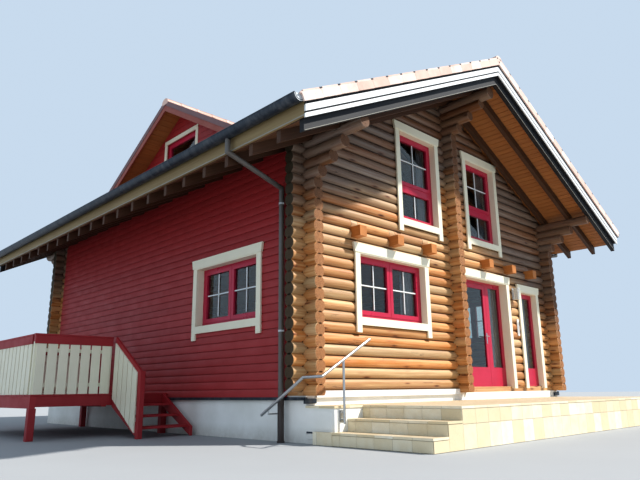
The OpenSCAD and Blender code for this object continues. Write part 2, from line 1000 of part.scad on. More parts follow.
// Dormer window's outline made smaller by rim, t thick about the frame's middle
module dormer_window_box(t, rim) {
    mid_x = -dormer_x + dormer_wall_t / 2;
    half = dormer_win_w / 2 - rim;
    box(mid_x - t / 2, mid_x + t / 2, dormer_y - half, dormer_y + half,
        dormer_win_z + rim, dormer_win_z + dormer_win_h - rim);
}

module dormer_walls() {
    inner = dormer_w / 2 - dormer_wall_t;
    color("brown")
        difference() {
            along_x(-dormer_x, -dormer_in)
                dormer_outline(dormer_w / 2);
            box(-dormer_x + dormer_wall_t, -dormer_in + 1, dormer_y - inner, dormer_y + inner, 0, ridge_h);
            below_roof(slab_top + fit);
            dormer_window_box(dormer_wall_t + 2, 0);
        }
}

module dormer_roof() {
    h = dormer_w / 2 + dormer_over;
    low = dormer_top - dormer_roof_t;
    color("lightsalmon")
        difference() {
            along_x(-dormer_x - dormer_over - 20, -dormer_in)
                polygon([[dormer_y - h, low - h * dormer_slope], [dormer_y, low], [dormer_y + h, low - h * dormer_slope],
                         [dormer_y + h, dormer_top - h * dormer_slope], [dormer_y, dormer_top],
                         [dormer_y - h, dormer_top - h * dormer_slope]]);
            below_roof(ridge_h + fit);
        }
}

// Lantern between the terrace door and the narrow light: a back plate, a core, slats and a cap
module wall_lamp() {
    x = (terrace_x1 + narrow_x - narrow_w / 2) / 2;
    z = 2565;
    h = 240;
    slats = 6;
    color("dimgray") {
        box(x - 40, x + 40, -log_r - 12, -log_r, z + 10, z + h + 20);
        box(x - 15, x + 15, -log_r - 60, -log_r - 11, z + h - 60, z + h - 30);
        box(x - 32, x + 32, -log_r - 132, -log_r - 55, z + 10, z + h);
        for (k = [0:slats - 1])
            box(x - 50, x + 50, -log_r - 150, -log_r - 40, z + k * 38, z + k * 38 + 12);
        box(x - 56, x + 56, -log_r - 156, -log_r - 34, z + h - 8, z + h + 10);
    }
}

// Timber deck beside the house, with its beams, posts and railing
deck_x0 = -wall_x - log_r - skin_t;
deck_x1 = deck_x0 - deck_w;
deck_y0 = 3620;
deck_y1 = deck_y0 + deck_l;
deck_t = 70;
beam_h = 140;
beam_w = 90;
post_w = 110;
rail_high = 960;
rail_h = 130;
board_w = 150;
board_gap = 30;

module side_deck() {
    z0 = floor_z - deck_t - beam_h;
    color("firebrick") {
        box(deck_x1, deck_x0, deck_y0, deck_y1, floor_z - deck_t, floor_z);
        for (x = [deck_x1, (deck_x0 + deck_x1 - beam_w) / 2, deck_x0 - beam_w])
            box(x, x + beam_w, deck_y0, deck_y1, z0, floor_z - deck_t + 1);
        for (y = [deck_y0, deck_y1 - beam_w])
            box(deck_x1, deck_x0, y, y + beam_w, z0, floor_z - deck_t + 1);
        for (x = [deck_x1, deck_x0 - post_w], y = [deck_y0, deck_y1 - post_w])
            box(x, x + post_w, y, y + post_w, 0, z0 + 1);
    }
}

// Railing panel of length l along +X: posts, two rails with upright boards on them, and a top rail
module railing(l) {
    board_t = 22;
    inner = l - board_gap;
    count = floor(inner / (board_w + board_gap));
    pitch = inner / count;
    for (x = [0, (l - beam_w) / 2, l - beam_w])
        box(x, x + beam_w, 0, beam_w / 2, floor_z, floor_z + rail_high - rail_h + 1);
    for (z = [120, rail_high - rail_h - 160])
        box(0, l, 0, beam_w / 2, floor_z + z, floor_z + z + 60);
    for (i = [0:count - 1])
        box(board_gap + i * pitch, i * pitch + pitch, -board_t, 1,
            floor_z + fit, floor_z + rail_high - rail_h + 1);
    box(0, l, -board_t - 10, beam_w / 2 + 10, floor_z + rail_high - rail_h, floor_z + rail_high);
}

module deck_railing() {
    front_l = deck_w - deck_stair_w - 100;
    inset = 40;
    side_gap = 2 * beam_w;
    color("gainsboro") {
        translate([deck_x1, deck_y0 + inset, 0])
            railing(front_l);
        translate([deck_x1 + inset, deck_y1 - side_gap, 0])
            rotate([0, 0, -90])
                railing(deck_l - 2 * side_gap);
        translate([deck_x0 - fit, deck_y1 - inset, 0])
            rotate([0, 0, 180])
                railing(deck_w - fit);
    }
}

// Stair from the ground to the deck: two strings, treads between them, and a rail with boards outside
module deck_stair() {
    steps = 3;
    going = 280;
    rise = floor_z / (steps + 1);
    string_t = 50;
    x1 = deck_x0 - 60;
    x0 = x1 - deck_stair_w;
    foot = deck_y0 - (steps + 0.5) * going;
    newel = 80;
    color("firebrick") {
        for (x = [x0, x1 - string_t])
            along_x(x, x + string_t)
                polygon([[foot, 0], [deck_y0 - fit, floor_z - beam_h - deck_t], [deck_y0 - fit, floor_z],
                         [foot, 0.5 * rise + 60]]);
        for (k = [1:steps])
            box(x0 + 1, x1 - 1, deck_y0 - (k + 0.1) * going, deck_y0 - (k - 1) * going - 10,
                floor_z - k * rise - 40, floor_z - k * rise);
        box(x0, x0 + newel, foot, foot + newel, 0, 0.5 * rise + rail_high);
        along_x(x0, x0 + newel / 2)
            polygon([[foot, 0.5 * rise + rail_high - 130], [deck_y0 - fit, floor_z + rail_high - 130],
                     [deck_y0 - fit, floor_z + rail_high], [foot, 0.5 * rise + rail_high]]);
        for (k = [0:3])
            along_x(x0 + 8, x0 + 30)
                stair_board(foot + 150 + k * 190, 140, (floor_z - 0.5 * rise) / (deck_y0 - foot), foot, 0.5 * rise);
    }
}

// Upright board under a sloping rail, from the string to the rail
module stair_board(y, w, lean, foot, low) {
    polygon([[y, low + (y - foot) * lean], [y + w, low + (y + w - foot) * lean],
             [y + w, low + rail_high - 60 + (y + w - foot) * lean], [y, low + rail_high - 60 + (y - foot) * lean]]);
}

plinth();
ground_floor();
front_terrace();
front_steps();
handrail();
base_board();
front_wall_left();
front_wall_right();
front_gable();
middle_wall_ends();
left_wall();
right_wall();
back_wall();
left_boarding();
right_boarding();
floor_joists();
upper_floor();
left_purlin();
right_purlin();
ridge_purlin();
left_rafters();
right_rafters();
left_roof();
right_roof();
left_tiles();
right_tiles();
ridge_tiles();
front_verge_boards();
back_verge_boards();
left_fascia();
right_fascia();
left_gutter();
right_gutter();
left_downpipe();
right_downpipe();
window_casings();
window_frames();
window_glass();
door_casing();
door_frame();
terrace_door();
terrace_door_glass();
dormer_walls();
dormer_roof();
wall_lamp();
side_deck();
deck_railing();
deck_stair();
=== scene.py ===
"""Alpine chalet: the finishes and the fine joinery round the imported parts."""
import functools
import itertools
import math
import random

import bmesh
import bpy
from mathutils import Matrix, Vector


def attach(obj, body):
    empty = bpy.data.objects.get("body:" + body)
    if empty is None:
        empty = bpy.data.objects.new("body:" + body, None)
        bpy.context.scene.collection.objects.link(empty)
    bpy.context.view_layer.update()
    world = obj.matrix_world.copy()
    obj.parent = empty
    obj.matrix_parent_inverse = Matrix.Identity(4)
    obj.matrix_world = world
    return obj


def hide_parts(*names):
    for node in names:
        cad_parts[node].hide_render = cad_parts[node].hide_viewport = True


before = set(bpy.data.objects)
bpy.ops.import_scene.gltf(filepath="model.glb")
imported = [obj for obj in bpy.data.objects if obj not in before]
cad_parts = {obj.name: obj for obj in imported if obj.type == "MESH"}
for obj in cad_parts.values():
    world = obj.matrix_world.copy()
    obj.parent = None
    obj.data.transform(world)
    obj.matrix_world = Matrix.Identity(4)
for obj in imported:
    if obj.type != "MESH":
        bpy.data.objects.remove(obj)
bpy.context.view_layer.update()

# The view: focal length in picture widths, place in metres and turn in degrees
LENS_WIDTHS = 592.8 / 640
CAMERA_PLACE = Vector((-9.72, -6.43, 0.71))
CAMERA_YAW, CAMERA_PITCH, CAMERA_ROLL = 44.06, 14.23, -0.75
SENSOR_MM = 36.0
SKY_COLOUR, SKY_STRENGTH = (0.70, 0.84, 1.0, 1.0), 0.72
SUN_COLOUR, SUN_STRENGTH, SUN_WIDTH = (1.0, 0.96, 0.90), 4.9, 2.0
SUN_WAY = Vector((-0.9, 1.0, -1.52))

# Sizes in metres. Walls: side and back wall, round logs in courses, their ends and corbels, and the plinth
WALL_X, LENGTH = 3.82, 9.40
LOG_R, RIDGE_R, COURSE = 0.100, 0.120, 0.170
FRONT_FIRST, SIDE_FIRST = 0.790, 0.705
FRONT_COURSES, SIDE_COURSES, MIDDLE_COURSES, CORBELS = 35, 22, 33, 3
LOG_END, CORBEL_STEP, RIDGE_CORBEL_STEP = 0.315, 0.240, 0.262
LOG_BOW, LOG_LIFT, LOG_SWELL, LOG_EASE = 0.0022, 0.0012, 0.0015, 0.005
PLINTH_X, PLINTH_Y, PLINTH_TOP = 3.900, 0.090, 0.640
# Roof: its slope, the heights of its layers under the ridge, its edges, purlins, rafters, dormer and tiles
SLOPE = math.tan(math.radians(26.6))
ROOF_ANGLE = math.atan(SLOPE)
ROOF_TOP, SLAB_TOP, SOFFIT, RAFTER_Z = 6.9399, 6.8599, 6.5899, 6.4099
VERGE, EAVE_X, NOSE_X = 1.460, 5.100, 5.220
PURLIN_Z, RIDGE_Z, PURLIN_END, RIDGE_END = 4.445, 6.2999, 1.290, 1.215
RAFTER_PITCH, FIRST_RAFTER, BAY_SHIFT = 0.5829, -1.310, 12.21
DORMER_Y, DORMER_HALF, DORMER_TOP, DORMER_FRONT = 3.65, 2.05, 6.4699, -3.88
DORMER_OVER, DORMER_THICK = 0.40, 0.150
DORMER_ANGLE = math.radians(30.0)
DORMER_SLOPE = math.tan(DORMER_ANGLE)
DORMER_SILL = SLAB_TOP + SLOPE * DORMER_FRONT + 0.250
VERGE_DROP, TILE_ROWS, TILE_COLUMNS, CAP_LENGTH = 0.122, 15, 41, 0.40
# Boards of the sides, of the roof's underside and of the deck; stone tiles and steps; rain pipes; fittings
BOARD_PITCH, BOARDING_X, BOARDED_X, SOFFIT_PITCH, DECK_BOARDS = 0.127, 3.920, 3.945, 0.120, 28
TILE_PITCH, TILE_BED, TILE_NOSE, TILE_THICK = 0.2925, 0.030, 0.015, 0.008
TREAD, RISER = 0.305, 0.168
GUTTER_R, PIPE_X, PIPE_Y = 0.096, 4.005, 0.330
DECK = (-6.345, -3.945, 3.620, 7.200, 0.700)
HANDLE_X, HANDLE_Z = 1.285, 1.740
CURTAIN_Y, CURTAIN_DEPTH = 0.165, 0.030

X, Y, Z = Vector((1, 0, 0)), Vector((0, 1, 0)), Vector((0, 0, 1))
SIDES = ((-1, "left"), (1, "right"))


def linear(code):
    """Colour of an sRGB hex code such as d8964f in linear light."""
    parts = [int(code[i:i + 2], 16) / 255 for i in (0, 2, 4)]
    return [c / 12.92 if c < 0.04045 else ((c + 0.055) / 1.055) ** 2.4 for c in parts] + [1.0]


def add_node(tree, kind, inputs=(), out=0, **settings):
    """Adds one shader node with its settings, sets or links its inputs, and gives one of its outputs.
    A colour is given as its hex code, and a link brought to another range as (link, from two, to two)."""
    kind, _, operation = kind.partition(" ")
    made = tree.nodes.new("ShaderNode" + kind)
    if operation:
        made.operation = operation
    for name, value in settings.items():
        setattr(made, name, value)
    for key, value in inputs.items() if isinstance(inputs, dict) else enumerate(inputs):
        if isinstance(value, tuple) and isinstance(value[0], bpy.types.NodeSocket):
            value = add_node(tree, "MapRange", value)
        if isinstance(value, bpy.types.NodeSocket):
            tree.links.new(value, made.inputs[key])
        else:
            made.inputs[key].default_value = linear(value) if isinstance(value, str) else value
    return made.outputs[out] if made.outputs else made


def finish(name):
    """An empty material, and what adds nodes to it."""
    made = bpy.data.materials.new(name)
    made.use_nodes = True
    made.node_tree.nodes.clear()
    return made, functools.partial(add_node, made.node_tree)


def surface(add, coats, roughness, height=None, depth=0.001, **more):
    """Ends a finish: its colours, each laid over those before it as far as its share says, its gloss, and
    its relief in metres."""
    colour = coats[0]
    for share, coat, *blend in coats[1:]:
        colour = add("Mix", {0: share, 6: colour, 7: coat}, 2, data_type="RGBA",
                     blend_type=blend[0] if blend else "MIX")
    inputs = {"Base Color": colour, "Roughness": roughness, "IOR": 1.5}
    if height is not None:
        inputs["Normal"] = add("Bump", {"Height": height, "Distance": depth, "Strength": 1.0})
    inputs.update(more)
    add("OutputMaterial", {"Surface": add("BsdfPrincipled", inputs)})


def drawn_out(add, where, stretch, **noise):
    """Noise drawn out into streaks: along the grain, or down a slope or a wall."""
    along = add("Mapping", {"Vector": where, "Scale": stretch})
    return add("TexNoise", {"Vector": along, "Scale": 1.0, **noise})


def off_line(add, value, level):
    """How far a value is from a level: near 0 along thin winding lines."""
    return add("Math ABSOLUTE", [add("Math SUBTRACT", [value, level])])


def facing(add, axis):
    """How far the surface looks along an axis, from -1 to 1."""
    return add("SeparateXYZ", [add("NewGeometry", out="Normal")], out="XYZ".index(axis))


def timber_place(add, lie):
    """Place in metres with the first axis along the grain, and a number that differs from timber to timber.
    The grain lies as the piece keeps it (own), across the house, along it, or down the slope of the roof."""
    if lie == "own":
        return (add("Attribute", out="Vector", attribute_name="grain"),
                add("Attribute", out="Fac", attribute_name="tone"))
    house = add("TexCoord", out="Object")
    x, y, z = add("SeparateXYZ", [house]).node.outputs
    if lie != "slope":
        cloud = add("TexNoise", {"Vector": house, "Scale": 0.8, "Detail": 1.0})
        return (house if lie == "across" else add("CombineXYZ", [y, x, z])), cloud
    beside = add("CombineXYZ", [add("Math ABSOLUTE", [x]), y, z])
    down = add("Mapping", {"Vector": beside, "Rotation": (0.0, -ROOF_ANGLE, 0.0)})
    shifted = add("Math ADD", [y, BAY_SHIFT])
    bay = add("Math FLOOR", [add("Math DIVIDE", [shifted, RAFTER_PITCH])])
    right = add("Math GREATER_THAN", [x, 0.0])
    number = add("Math MULTIPLY_ADD", [right, 57.0, bay])
    return down, add("TexWhiteNoise", {"W": number}, noise_dimensions="1D")


def sawn_timber(name, pale, dark, lie, rough=0.62, barge=None):
    """Softwood, sawn and oiled: the summer wood stands a little proud of the spring wood, so long narrow
    streaks 20 to 30 mm apart catch the light, and the thin oil leaves it dull. The outermost rafters may
    have a dark coat of paint, made darker than the paint so that it also stands for the shade they lie in:
    partly painted shade."""
    made, add = finish(name)
    where, tone = timber_place(add, lie)
    streaks = drawn_out(add, where, (1.2, 42.0, 42.0), Detail=6.0, Roughness=0.6, Distortion=0.4)
    broad = drawn_out(add, where, (0.5, 5.0, 5.0), Detail=3.0)
    coats = [dark, (streaks, pale), ((broad, 0.35, 0.75, 0.0, 0.3), "5a4030"),
             ((tone, 0.0, 1.0, 0.0, 0.4), dark)]
    # outermost rafters: dark paint, partly painted shade
    if barge:
        along = add("SeparateXYZ", [add("TexCoord", out="Object")], out=1)
        inner = add("Math COMPARE", [along, LENGTH / 2, 5.8])
        coats.append((add("Math SUBTRACT", [1.0, inner]), barge))
    surface(add, coats, (streaks, 0.3, 0.7, rough + 0.08, rough - 0.08), streaks, 0.0012)
    return made


def painted_roof_shade(add):
    """Painted shade of the roof's overhang: 1 close under the roof, 0 on the open wall, with a cloudy border
    laid along the key light's shadow edge, which lies lower on the right."""
    house = add("TexCoord", out="Object")
    x, _, z = add("SeparateXYZ", [house]).node.outputs
    beside = add("Math ABSOLUTE", [x])
    roof = add("Math MULTIPLY_ADD", [beside, -SLOPE, SOFFIT])
    below = add("Math SUBTRACT", [roof, z])
    border = add("Math MULTIPLY_ADD", [x, 0.17, 2.20])
    past = add("Math SUBTRACT", [below, border])
    cloud = add("TexNoise", {"Vector": house, "Scale": 2.5, "Detail": 3.0})
    uneven = add("Math MULTIPLY_ADD", [cloud, 0.3, past])
    return add("MapRange", [uneven, -0.50, 0.30, 1.0, 0.0])


def seam_dirt_and_shade(add, where, patches):
    """Darkening in the narrow gap between one log and the next: partly dirt and old sealing strip, partly
    painted shade in the crease, inside the wall's own faces, and none on the free ends."""
    above = add("Math ABSOLUTE", [add("SeparateXYZ", [where], out=2)])
    uneven = add("Math MULTIPLY_ADD", [patches, 0.012, above])
    share = add("MapRange", [uneven, 0.070, 0.090, 0.0, 0.9])
    x, y, _ = add("SeparateXYZ", [add("TexCoord", out="Object")]).node.outputs
    for place, middle, reach in ((x, 0.0, WALL_X), (y, LENGTH / 2, LENGTH / 2)):
        inside = add("Math COMPARE", [place, middle, reach + 0.12])
        share = add("Math MULTIPLY", [share, inside])
    return share


def log_pine():
    """Pine trunks peeled and turned round in a mill, then oiled: the cut runs through the growth rings at
    a flat angle, so long flames, dark knots with a reddish rim and fine drying cracks lie along each log,
    and every log has a hue of its own. Knots are 40 to 60 mm wide and some 0.6 m apart. Under the roof,
    the logs are darkened and tinted blue grey as painted shade of the overhang."""
    made, add = finish("oiled round pine logs")
    where, tone = timber_place(add, "own")
    flames = drawn_out(add, where, (0.9, 30.0, 30.0), Detail=7.0, Roughness=0.62, Distortion=0.6)
    patches = drawn_out(add, where, (1.6, 9.0, 9.0), Detail=3.0, Roughness=0.5, Distortion=0.3)
    base = "b47c46"
    for share, coat in (((flames, 0.32, 0.68), "dcb482"),
                        ((patches, 0.45, 0.75, 0.0, 0.5), "c48e66")):
        base = add("Mix", {0: share, 6: base, 7: coat}, 2, data_type="RGBA")
    other = add("Math FRACT", [add("Math MULTIPLY", [tone, 7.3])])
    own = {"Color": base, "Hue": (tone, 0.0, 1.0, 0.486, 0.512), "Saturation": (tone, 0.0, 1.0, 1.15, 0.86),
           "Value": (other, 0.0, 1.0, 0.78, 1.12)}
    spread = add("Mapping", {"Vector": where, "Scale": (1.5, 7.0, 7.0)})
    near = add("TexVoronoi", {"Vector": spread, "Scale": 1.0})
    seams = drawn_out(add, where, (0.55, 17.0, 17.0), Detail=2.0, Roughness=0.4)
    crack = add("Math MULTIPLY", [(off_line(add, seams, 0.56), 0.0, 0.007, 1.0, 0.0), (patches, 0.48, 0.6)])
    coats = [add("HueSaturation", own),
             ((near, 0.08, 0.22, 0.6, 0.0), "9c5630"),
             ((near, 0.05, 0.14, 0.85, 0.0), "42200f"),
             # painted shade: the roof's overhang darkens the logs under it and tints them blue grey
             (crack, "3a1f10"), (painted_roof_shade(add), "a6aed0", "MULTIPLY"),
             # gaps between logs: partly dirt and sealing strip, partly painted shade
             (seam_dirt_and_shade(add, where, patches), "2c190d")]
    half = add("Math MULTIPLY", [flames, 0.5])
    relief = add("Math SUBTRACT", [half, crack])
    surface(add, coats, (flames, 0.3, 0.7, 0.56, 0.42), relief, 0.003)
    return made


def log_end_grain():
    """Sawn end of a log: growth rings about 4 mm wide round a heart that is a little off the middle, with
    cracks that run out from it, darker than the sides because the ends drink more oil. Under the roof they
    take the same painted shade as the logs. The ends that look to the left, away from the key light, are
    made a dark grey green: partly weather stain, partly painted shade."""
    made, add = finish("sawn log ends")
    where = timber_place(add, "own")[0]
    flat = add("Mapping", {"Vector": where, "Scale": (0.0, 1.0, 1.0)})
    wobble = add("TexNoise", {"Vector": flat, "Scale": 14.0, "Detail": 3.0})
    from_heart = add("VectorMath", [flat], out="Value", operation="LENGTH")
    pushed = add("Math MULTIPLY_ADD", [wobble, 0.012, from_heart])
    rings = add("Math SINE", [add("Math MULTIPLY", [pushed, 1450.0])])
    _, y, z = add("SeparateXYZ", [where]).node.outputs
    angle = add("Math ARCTAN2", [y, z])
    rays = add("TexNoise", {"W": angle, "Scale": 3.2, "Detail": 2.0}, noise_dimensions="1D")
    split = add("MapRange", [off_line(add, rays, 0.5), 0.0, 0.012, 0.8, 0.0])
    coats = ["845430", ((rings, -1.0, 1.0), "b88252"), (split, "3a2112"),
             # painted shade of the roof's overhang, tinted blue grey
             (painted_roof_shade(add), "b4b8cc", "MULTIPLY"),
             # ends facing left, away from the key light: partly weather stain, partly painted shade
             ((facing(add, "X"), -0.9, -0.5, 0.88, 0.0), "34301f")]
    tenth = add("Math MULTIPLY", [rings, 0.1])
    surface(add, coats, 0.7, add("Math SUBTRACT", [tenth, split]), 0.002)
    return made


def painted_wood(name, paint, under, lie="own", rough=0.42, wear=0.25):
    """Planed boards under two brushed coats of paint: the brush leaves fine ridges about 10 mm apart along
    the board, rain has dulled it in patches, and dust makes it greyer where it is rough."""
    made, add = finish(name)
    where, tone = timber_place(add, lie)
    brush = drawn_out(add, where, (3.0, 90.0, 90.0), Detail=4.0)
    patches = add("TexNoise", {"Vector": where, "Scale": 2.3, "Detail": 5.0, "Roughness": 0.6})
    coats = [paint, ((patches, 0.42, 0.72, 0.0, wear), under), ((tone, 0.0, 1.0, 0.0, wear), under),
             ((brush, 0.4, 0.7, 0.0, wear * 0.6), under)]
    surface(add, coats, (patches, 0.3, 0.7, rough - 0.05, rough + 0.15), brush, 0.0006)
    return made


def wall_plaster():
    """Lime plaster rubbed with a wooden float and whitewashed: a sandy relief, faint cloudy patches, and
    earth splashed by the rain along the lowest hand's breadth."""
    made, add = finish("whitewashed plaster")
    where = add("TexCoord", out="Object")
    sand = add("TexNoise", {"Vector": where, "Scale": 160.0, "Detail": 5.0, "Roughness": 0.7})
    clouds = add("TexNoise", {"Vector": where, "Scale": 1.7, "Detail": 4.0})
    drops = add("TexNoise", {"Vector": where, "Scale": 9.0, "Detail": 5.0, "Roughness": 0.7})
    low = add("MapRange", [add("SeparateXYZ", [where], out=2), 0.0, 0.22, 0.7, 0.0])
    splash = add("Math MULTIPLY", [low, drops])
    coats = ["f6f6f2", ((clouds, 0.35, 0.7), "e6e6e0"), (splash, "9a8b78")]
    surface(add, coats, 0.88, add("Math ADD", [sand, clouds]), 0.0015)
    return made


def stone_tiles():
    """Frost-proof beige tiles: a fired, unglazed face with fine speckles, cloudy like sandstone, and a
    slightly different beige from tile to tile. The tops are made a little browner: partly dust from shoes,
    partly painted shade that holds back the stronger light on them."""
    made, add = finish("beige stone tiles")
    where = add("TexCoord", out="Object")
    tone = add("Attribute", out="Fac", attribute_name="tone")
    specks = add("TexNoise", {"Vector": where, "Scale": 130.0, "Detail": 4.0, "Roughness": 0.7})
    clouds = add("TexNoise", {"Vector": where, "Scale": 7.0, "Detail": 4.0})
    coats = ["dccca8", (tone, "f6eed8"), ((clouds, 0.4, 0.7, 0.0, 0.4), "dcc8a0"),
             ((specks, 0.5, 0.75, 0.0, 0.3), "8f7b58"),
             # browner tops: partly dust, partly painted shade against the stronger light on upward faces
             ((facing(add, "Z"), 0.3, 0.8, 0.0, 0.75), "b09c80")]
    surface(add, coats, (clouds, 0.3, 0.7, 0.5, 0.66), specks, 0.0008)
    return made


def tile_mortar():
    """Cement joint between the tiles: grey, sandy and dull."""
    made, add = finish("grey tile joints")
    where = add("TexCoord", out="Object")
    sand = add("TexNoise", {"Vector": where, "Scale": 220.0, "Detail": 4.0, "Roughness": 0.8})
    surface(add, ["7d776a", (sand, "a29c8c")], 0.9, sand, 0.001)
    return made


def roof_tiles():
    """Concrete tiles with a coloured sanded face: the upright edges have stayed a pale salmon, the tops
    are a darker brick with streaks that the rain has drawn down the slope, each tile a little different,
    with grey lichen dots."""
    made, add = finish("weathered roof tiles")
    where = add("TexCoord", out="Object")
    tone = add("Attribute", out="Fac", attribute_name="tone")
    grit = add("TexNoise", {"Vector": where, "Scale": 210.0, "Detail": 4.0, "Roughness": 0.75})
    clouds = add("TexNoise", {"Vector": where, "Scale": 3.1, "Detail": 5.0, "Roughness": 0.6})
    runs = drawn_out(add, where, (1.0, 7.0, 1.0), Scale=1.4, Detail=5.0, Roughness=0.65)
    top = "9c6a5a"
    for share, coat in ((tone, "bb8a78"), ((runs, 0.45, 0.7, 0.0, 0.55), "76574c")):
        top = add("Mix", {0: share, 6: top, 7: coat}, 2, data_type="RGBA")
    near = add("TexVoronoi", {"Vector": where, "Scale": 21.0})
    spots = add("Math MULTIPLY", [(near, 0.1, 0.2, 0.6, 0.0), (clouds, 0.5, 0.62)])
    coats = ["e0bcac", (tone, "f4e0d6"), ((facing(add, "Z"), 0.3, 0.7), top),
             ((clouds, 0.45, 0.75, 0.0, 0.4), "a8887a"), (spots, "b9b49f")]
    surface(add, coats, 0.85, grit, 0.0012)
    return made


def sheet_metal(name, colour, rough=0.42, metallic=0.55, dusty=0.45):
    """Steel sheet with a baked coat of paint: very smooth and slightly wavy from rolling, with fine
    dust and pale streaks where the rain has run down."""
    made, add = finish(name)
    where = add("TexCoord", out="Object")
    dust = drawn_out(add, where, (9.0, 9.0, 1.5), Detail=5.0, Roughness=0.6)
    waves = add("TexNoise", {"Vector": where, "Scale": 6.0, "Detail": 2.0})
    surface(add, [colour, ((dust, 0.45, 0.8, 0.0, dusty), "8a8d90")],
            (dust, 0.3, 0.7, rough - 0.08, rough + 0.14), waves, 0.002, Metallic=metallic)
    return made


def rail_steel():
    """Stainless tube ground with a belt: fine rings round the tube spread the light along it."""
    made, add = finish("ground stainless tube")
    where = add("TexCoord", out="Object")
    lines = add("TexNoise", {"Vector": where, "Scale": 260.0, "Detail": 2.0})
    surface(add, ["b4b6b8", (lines, "d2d3d4")], (lines, 0.3, 0.7, 0.24, 0.38), lines, 0.0002,
            Metallic=1.0)
    return made


def pane_glass():
    """Float glass in two panes: clear with the faintest green, and a thin film of dust from the rain."""
    made, add = finish("window glass")
    where = add("TexCoord", out="Object")
    film = add("TexNoise", {"Vector": where, "Scale": 3.0, "Detail": 5.0, "Roughness": 0.7})
    surface(add, ["e4ecea", (film, "d2dcd8")], (film, 0.4, 0.8, 0.0, 0.05),
            **{"Transmission Weight": 1.0})
    return made


def curtain_cloth():
    """Linen in a plain weave, washed soft: threads 2 mm apart, drawn that coarse so that they show, with
    slubs that make darker and paler streaks down the cloth."""
    made, add = finish("grey linen")
    where = timber_place(add, "own")[0]
    weave = {"Vector": where, "Scale": 160.0, "Distortion": 0.6}
    threads = add("TexWave", weave, out="Fac", bands_direction="Y")
    slubs = drawn_out(add, where, (1.0, 40.0, 1.0), Detail=4.0)
    surface(add, ["8c8690", (slubs, "b4aeb6")], 0.9, threads, 0.0006, **{"Sheen Weight": 0.3})
    return made


def pale_floor():
    """Trowelled studio floor, matt and nearly even."""
    made, add = finish("pale studio floor")
    where = add("TexCoord", out="Object")
    clouds = add("TexNoise", {"Vector": where, "Scale": 0.5, "Detail": 4.0})
    surface(add, ["989a9c", (clouds, "a0a2a4")], 0.9)
    return made


def arc(radius, angles):
    """Points of an outline round its own middle."""
    return [(radius * math.cos(a), radius * math.sin(a)) for a in angles]


def cut_edges(shape, at, away):
    """Cuts a shape along a plane, drops what lies beyond it, and gives the edges of the cut."""
    cut = bmesh.ops.bisect_plane(shape, geom=shape.verts[:] + shape.edges[:] + shape.faces[:], plane_co=at,
                                 plane_no=away, clear_outer=True)
    return [e for e in cut["geom_cut"] if isinstance(e, bmesh.types.BMEdge)]


def cut_off(made, at, away):
    """Cuts a finished piece along a plane, drops what lies beyond it and closes the cut."""
    shape = bmesh.new()
    shape.from_mesh(made.data)
    bmesh.ops.holes_fill(shape, edges=cut_edges(shape, at, away))
    shape.to_mesh(made.data)
    shape.free()


